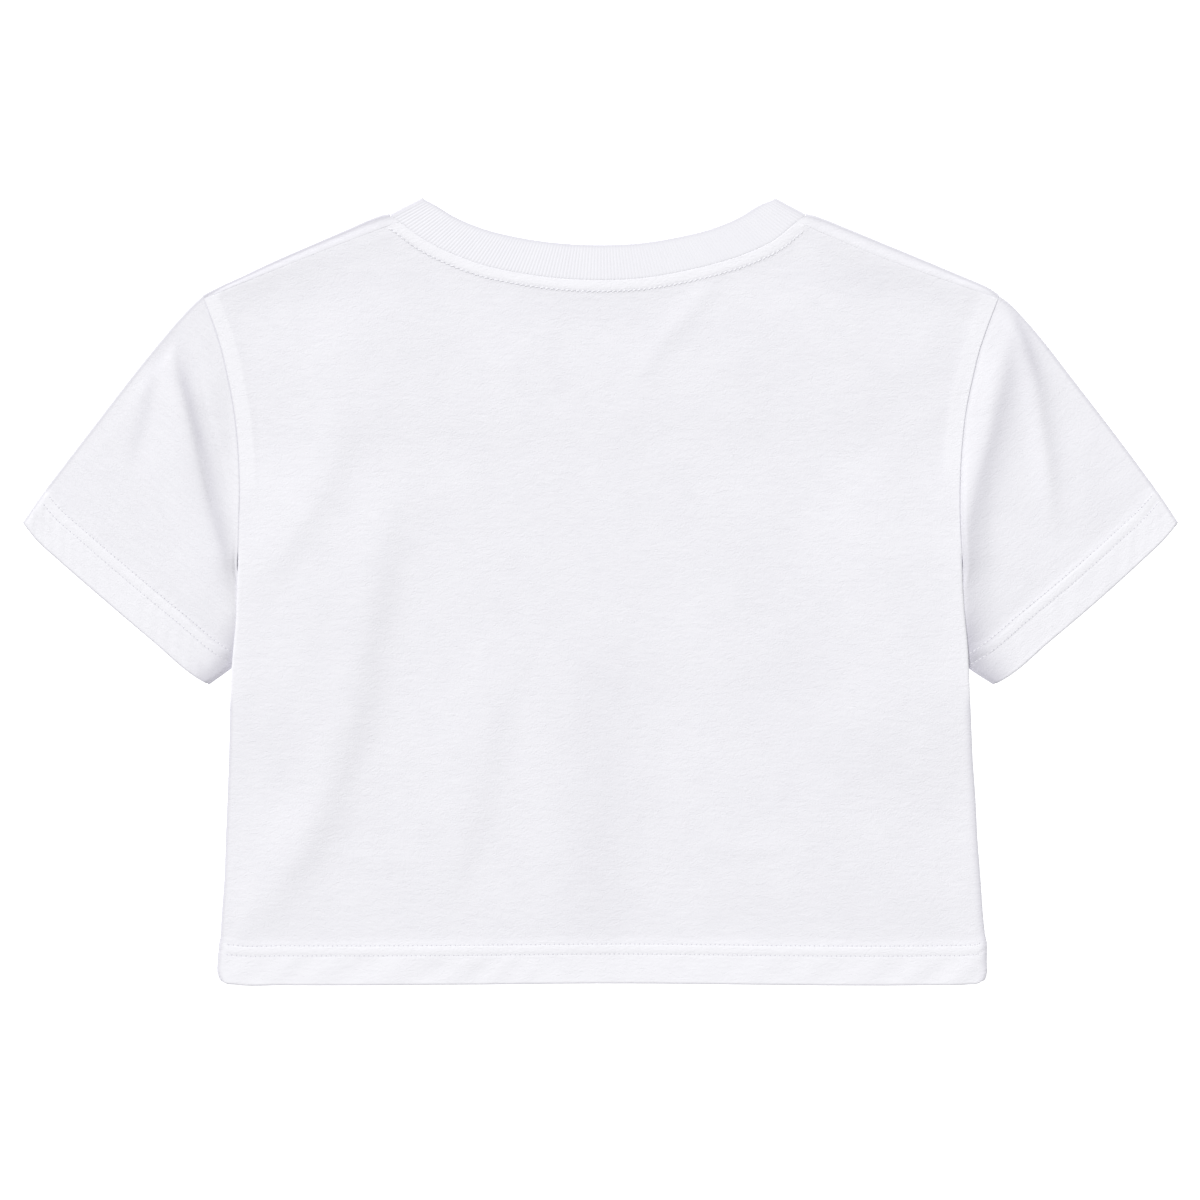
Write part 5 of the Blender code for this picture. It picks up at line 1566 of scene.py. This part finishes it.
def back_neck_row():
    """The topstitching below the back neck seam, from shoulder seam to shoulder seam."""
    row = shifted(whole_back_neck(), NECK_STRIP)
    left_seam, right_seam = shoulder_seams()
    below_left, below_right = (
        row[:, 1] < np.interp(row[:, 0], *seam.T) - ROW_CLEARANCE
        for seam in (left_seam, right_seam)
    )
    inside = below_left | (row[:, 0] > left_seam[-1, 0])
    return on_back(row[inside & (below_right | (row[:, 0] < right_seam[0, 0]))])


def front_neck_row():
    neck = shifted(front_neck(), NECK_STRIP)
    return under_front(along(neck, np.linspace(*FRONT_NECK_ROW_SHARES, CURVE_SAMPLES)))


def cuff_rows(side):
    """A cuff's twin rows on its upper layer, then on its lower layer."""
    lines = sleeve_lines(side)
    u = np.linspace(SLEEVE_FOLD_FADE[0], 1 - SLEEVE_FOLD_FADE[0], CURVE_SAMPLES)
    length = np.hypot(*(read(lines["cuff"], u) - read(lines["seam"], u)).T)
    upper, lower = [], []
    for depth in TWIN_ROWS:
        plan = sleeve_plan(lines, u, 1 - depth / length)
        x, y = plan.T
        wall = sleeve_wall(lines, x, y, u, np.zeros_like(x))
        real_plan = plan * lines["mirror"]
        upper.append(np.column_stack([real_plan, sleeve_height(lines, u, x, y) + wall]))
        lower.append(np.column_stack([real_plan, np.full(len(x), UNDER_SINK)]))
    return upper, lower


def finish_piece(piece, material, slot, *nodes):
    """Gives a piece its finish and its place in the frame."""
    piece.data.materials.clear()
    piece.data.materials.append(material)
    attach(piece, "root")
    if nodes:
        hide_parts(*nodes)
    return piece


def studio():
    """A pale floor, soft light from the upper left and a camera straight above the garment."""
    bpy.ops.object.select_all(action="DESELECT")
    bpy.ops.mesh.primitive_plane_add(size=FLOOR_SIZE, location=(0, 0, -FLOOR_DROP * MM))
    floor = bpy.context.object
    floor.name = "floor"
    floor.data.materials.append(floor_finish())
    world = bpy.data.worlds.new("studio")
    world.use_nodes = True
    background = world.node_tree.nodes["Background"].inputs
    background["Color"].default_value = WORLD_WHITE
    background["Strength"].default_value = WORLD_STRENGTH
    bpy.context.scene.world = world
    bpy.ops.object.light_add(type="SUN", location=KEY_PLACE)
    key = bpy.context.object
    key.name = "key_light"
    key.data.angle = radians(KEY_SPREAD)
    key.data.energy = KEY_STRENGTH
    key.rotation_euler = (-Vector(KEY_PLACE)).to_track_quat("-Z", "Y").to_euler()
    height = FRAME_WIDTH * MM * LENS / SENSOR
    bpy.ops.object.camera_add(location=(0, FRAME_CENTRE_UP * MM, height + FRAME_PLANE * MM))
    camera = bpy.context.object
    camera.data.lens = LENS
    camera.data.sensor_width = SENSOR
    bpy.context.scene.camera = camera
    bpy.context.scene.view_settings.view_transform = "Standard"


def main():
    jersey, rib, thread = jersey_finish(), rib_finish(), thread_finish()
    back = finish_piece(back_panel(), jersey, "jersey", "back")
    front = finish_piece(front_panel(), jersey, "jersey", "front")
    band = finish_piece(neckband(), rib, "rib", "neckband")
    sleeves = {
        side: finish_piece(sleeve(side), jersey, "jersey", f"sleeve_{side}") for side in SIDES
    }

    def sewing(name, rows, stitch, up=1.0):
        return finish_piece(stitching(name, rows, stitch, up), thread, "jersey")

    rows = [on_back(hem_row(depth, ROW_END)) for depth in TWIN_ROWS]
    hem = sewing("hem_stitches", rows, HEM_STITCH)
    neck_row = sewing("neck_stitches", [back_neck_row()], NECK_STITCH)
    rows = [under_front(hem_row(depth, 2 * ROW_END)) for depth in TWIN_ROWS]
    under_hem = sewing("front_hem_stitches", rows, CUFF_STITCH, up=-1.0)
    under_neck = sewing("front_neck_stitches", [front_neck_row()], CUFF_STITCH, up=-1.0)
    for side in SIDES:
        upper, lower = cuff_rows(side)
        over = sewing(f"cuff_{side}_stitches", upper, CUFF_STITCH)
        under = sewing(f"cuff_{side}_under_stitches", lower, CUFF_STITCH, up=-1.0)
    studio()


main()
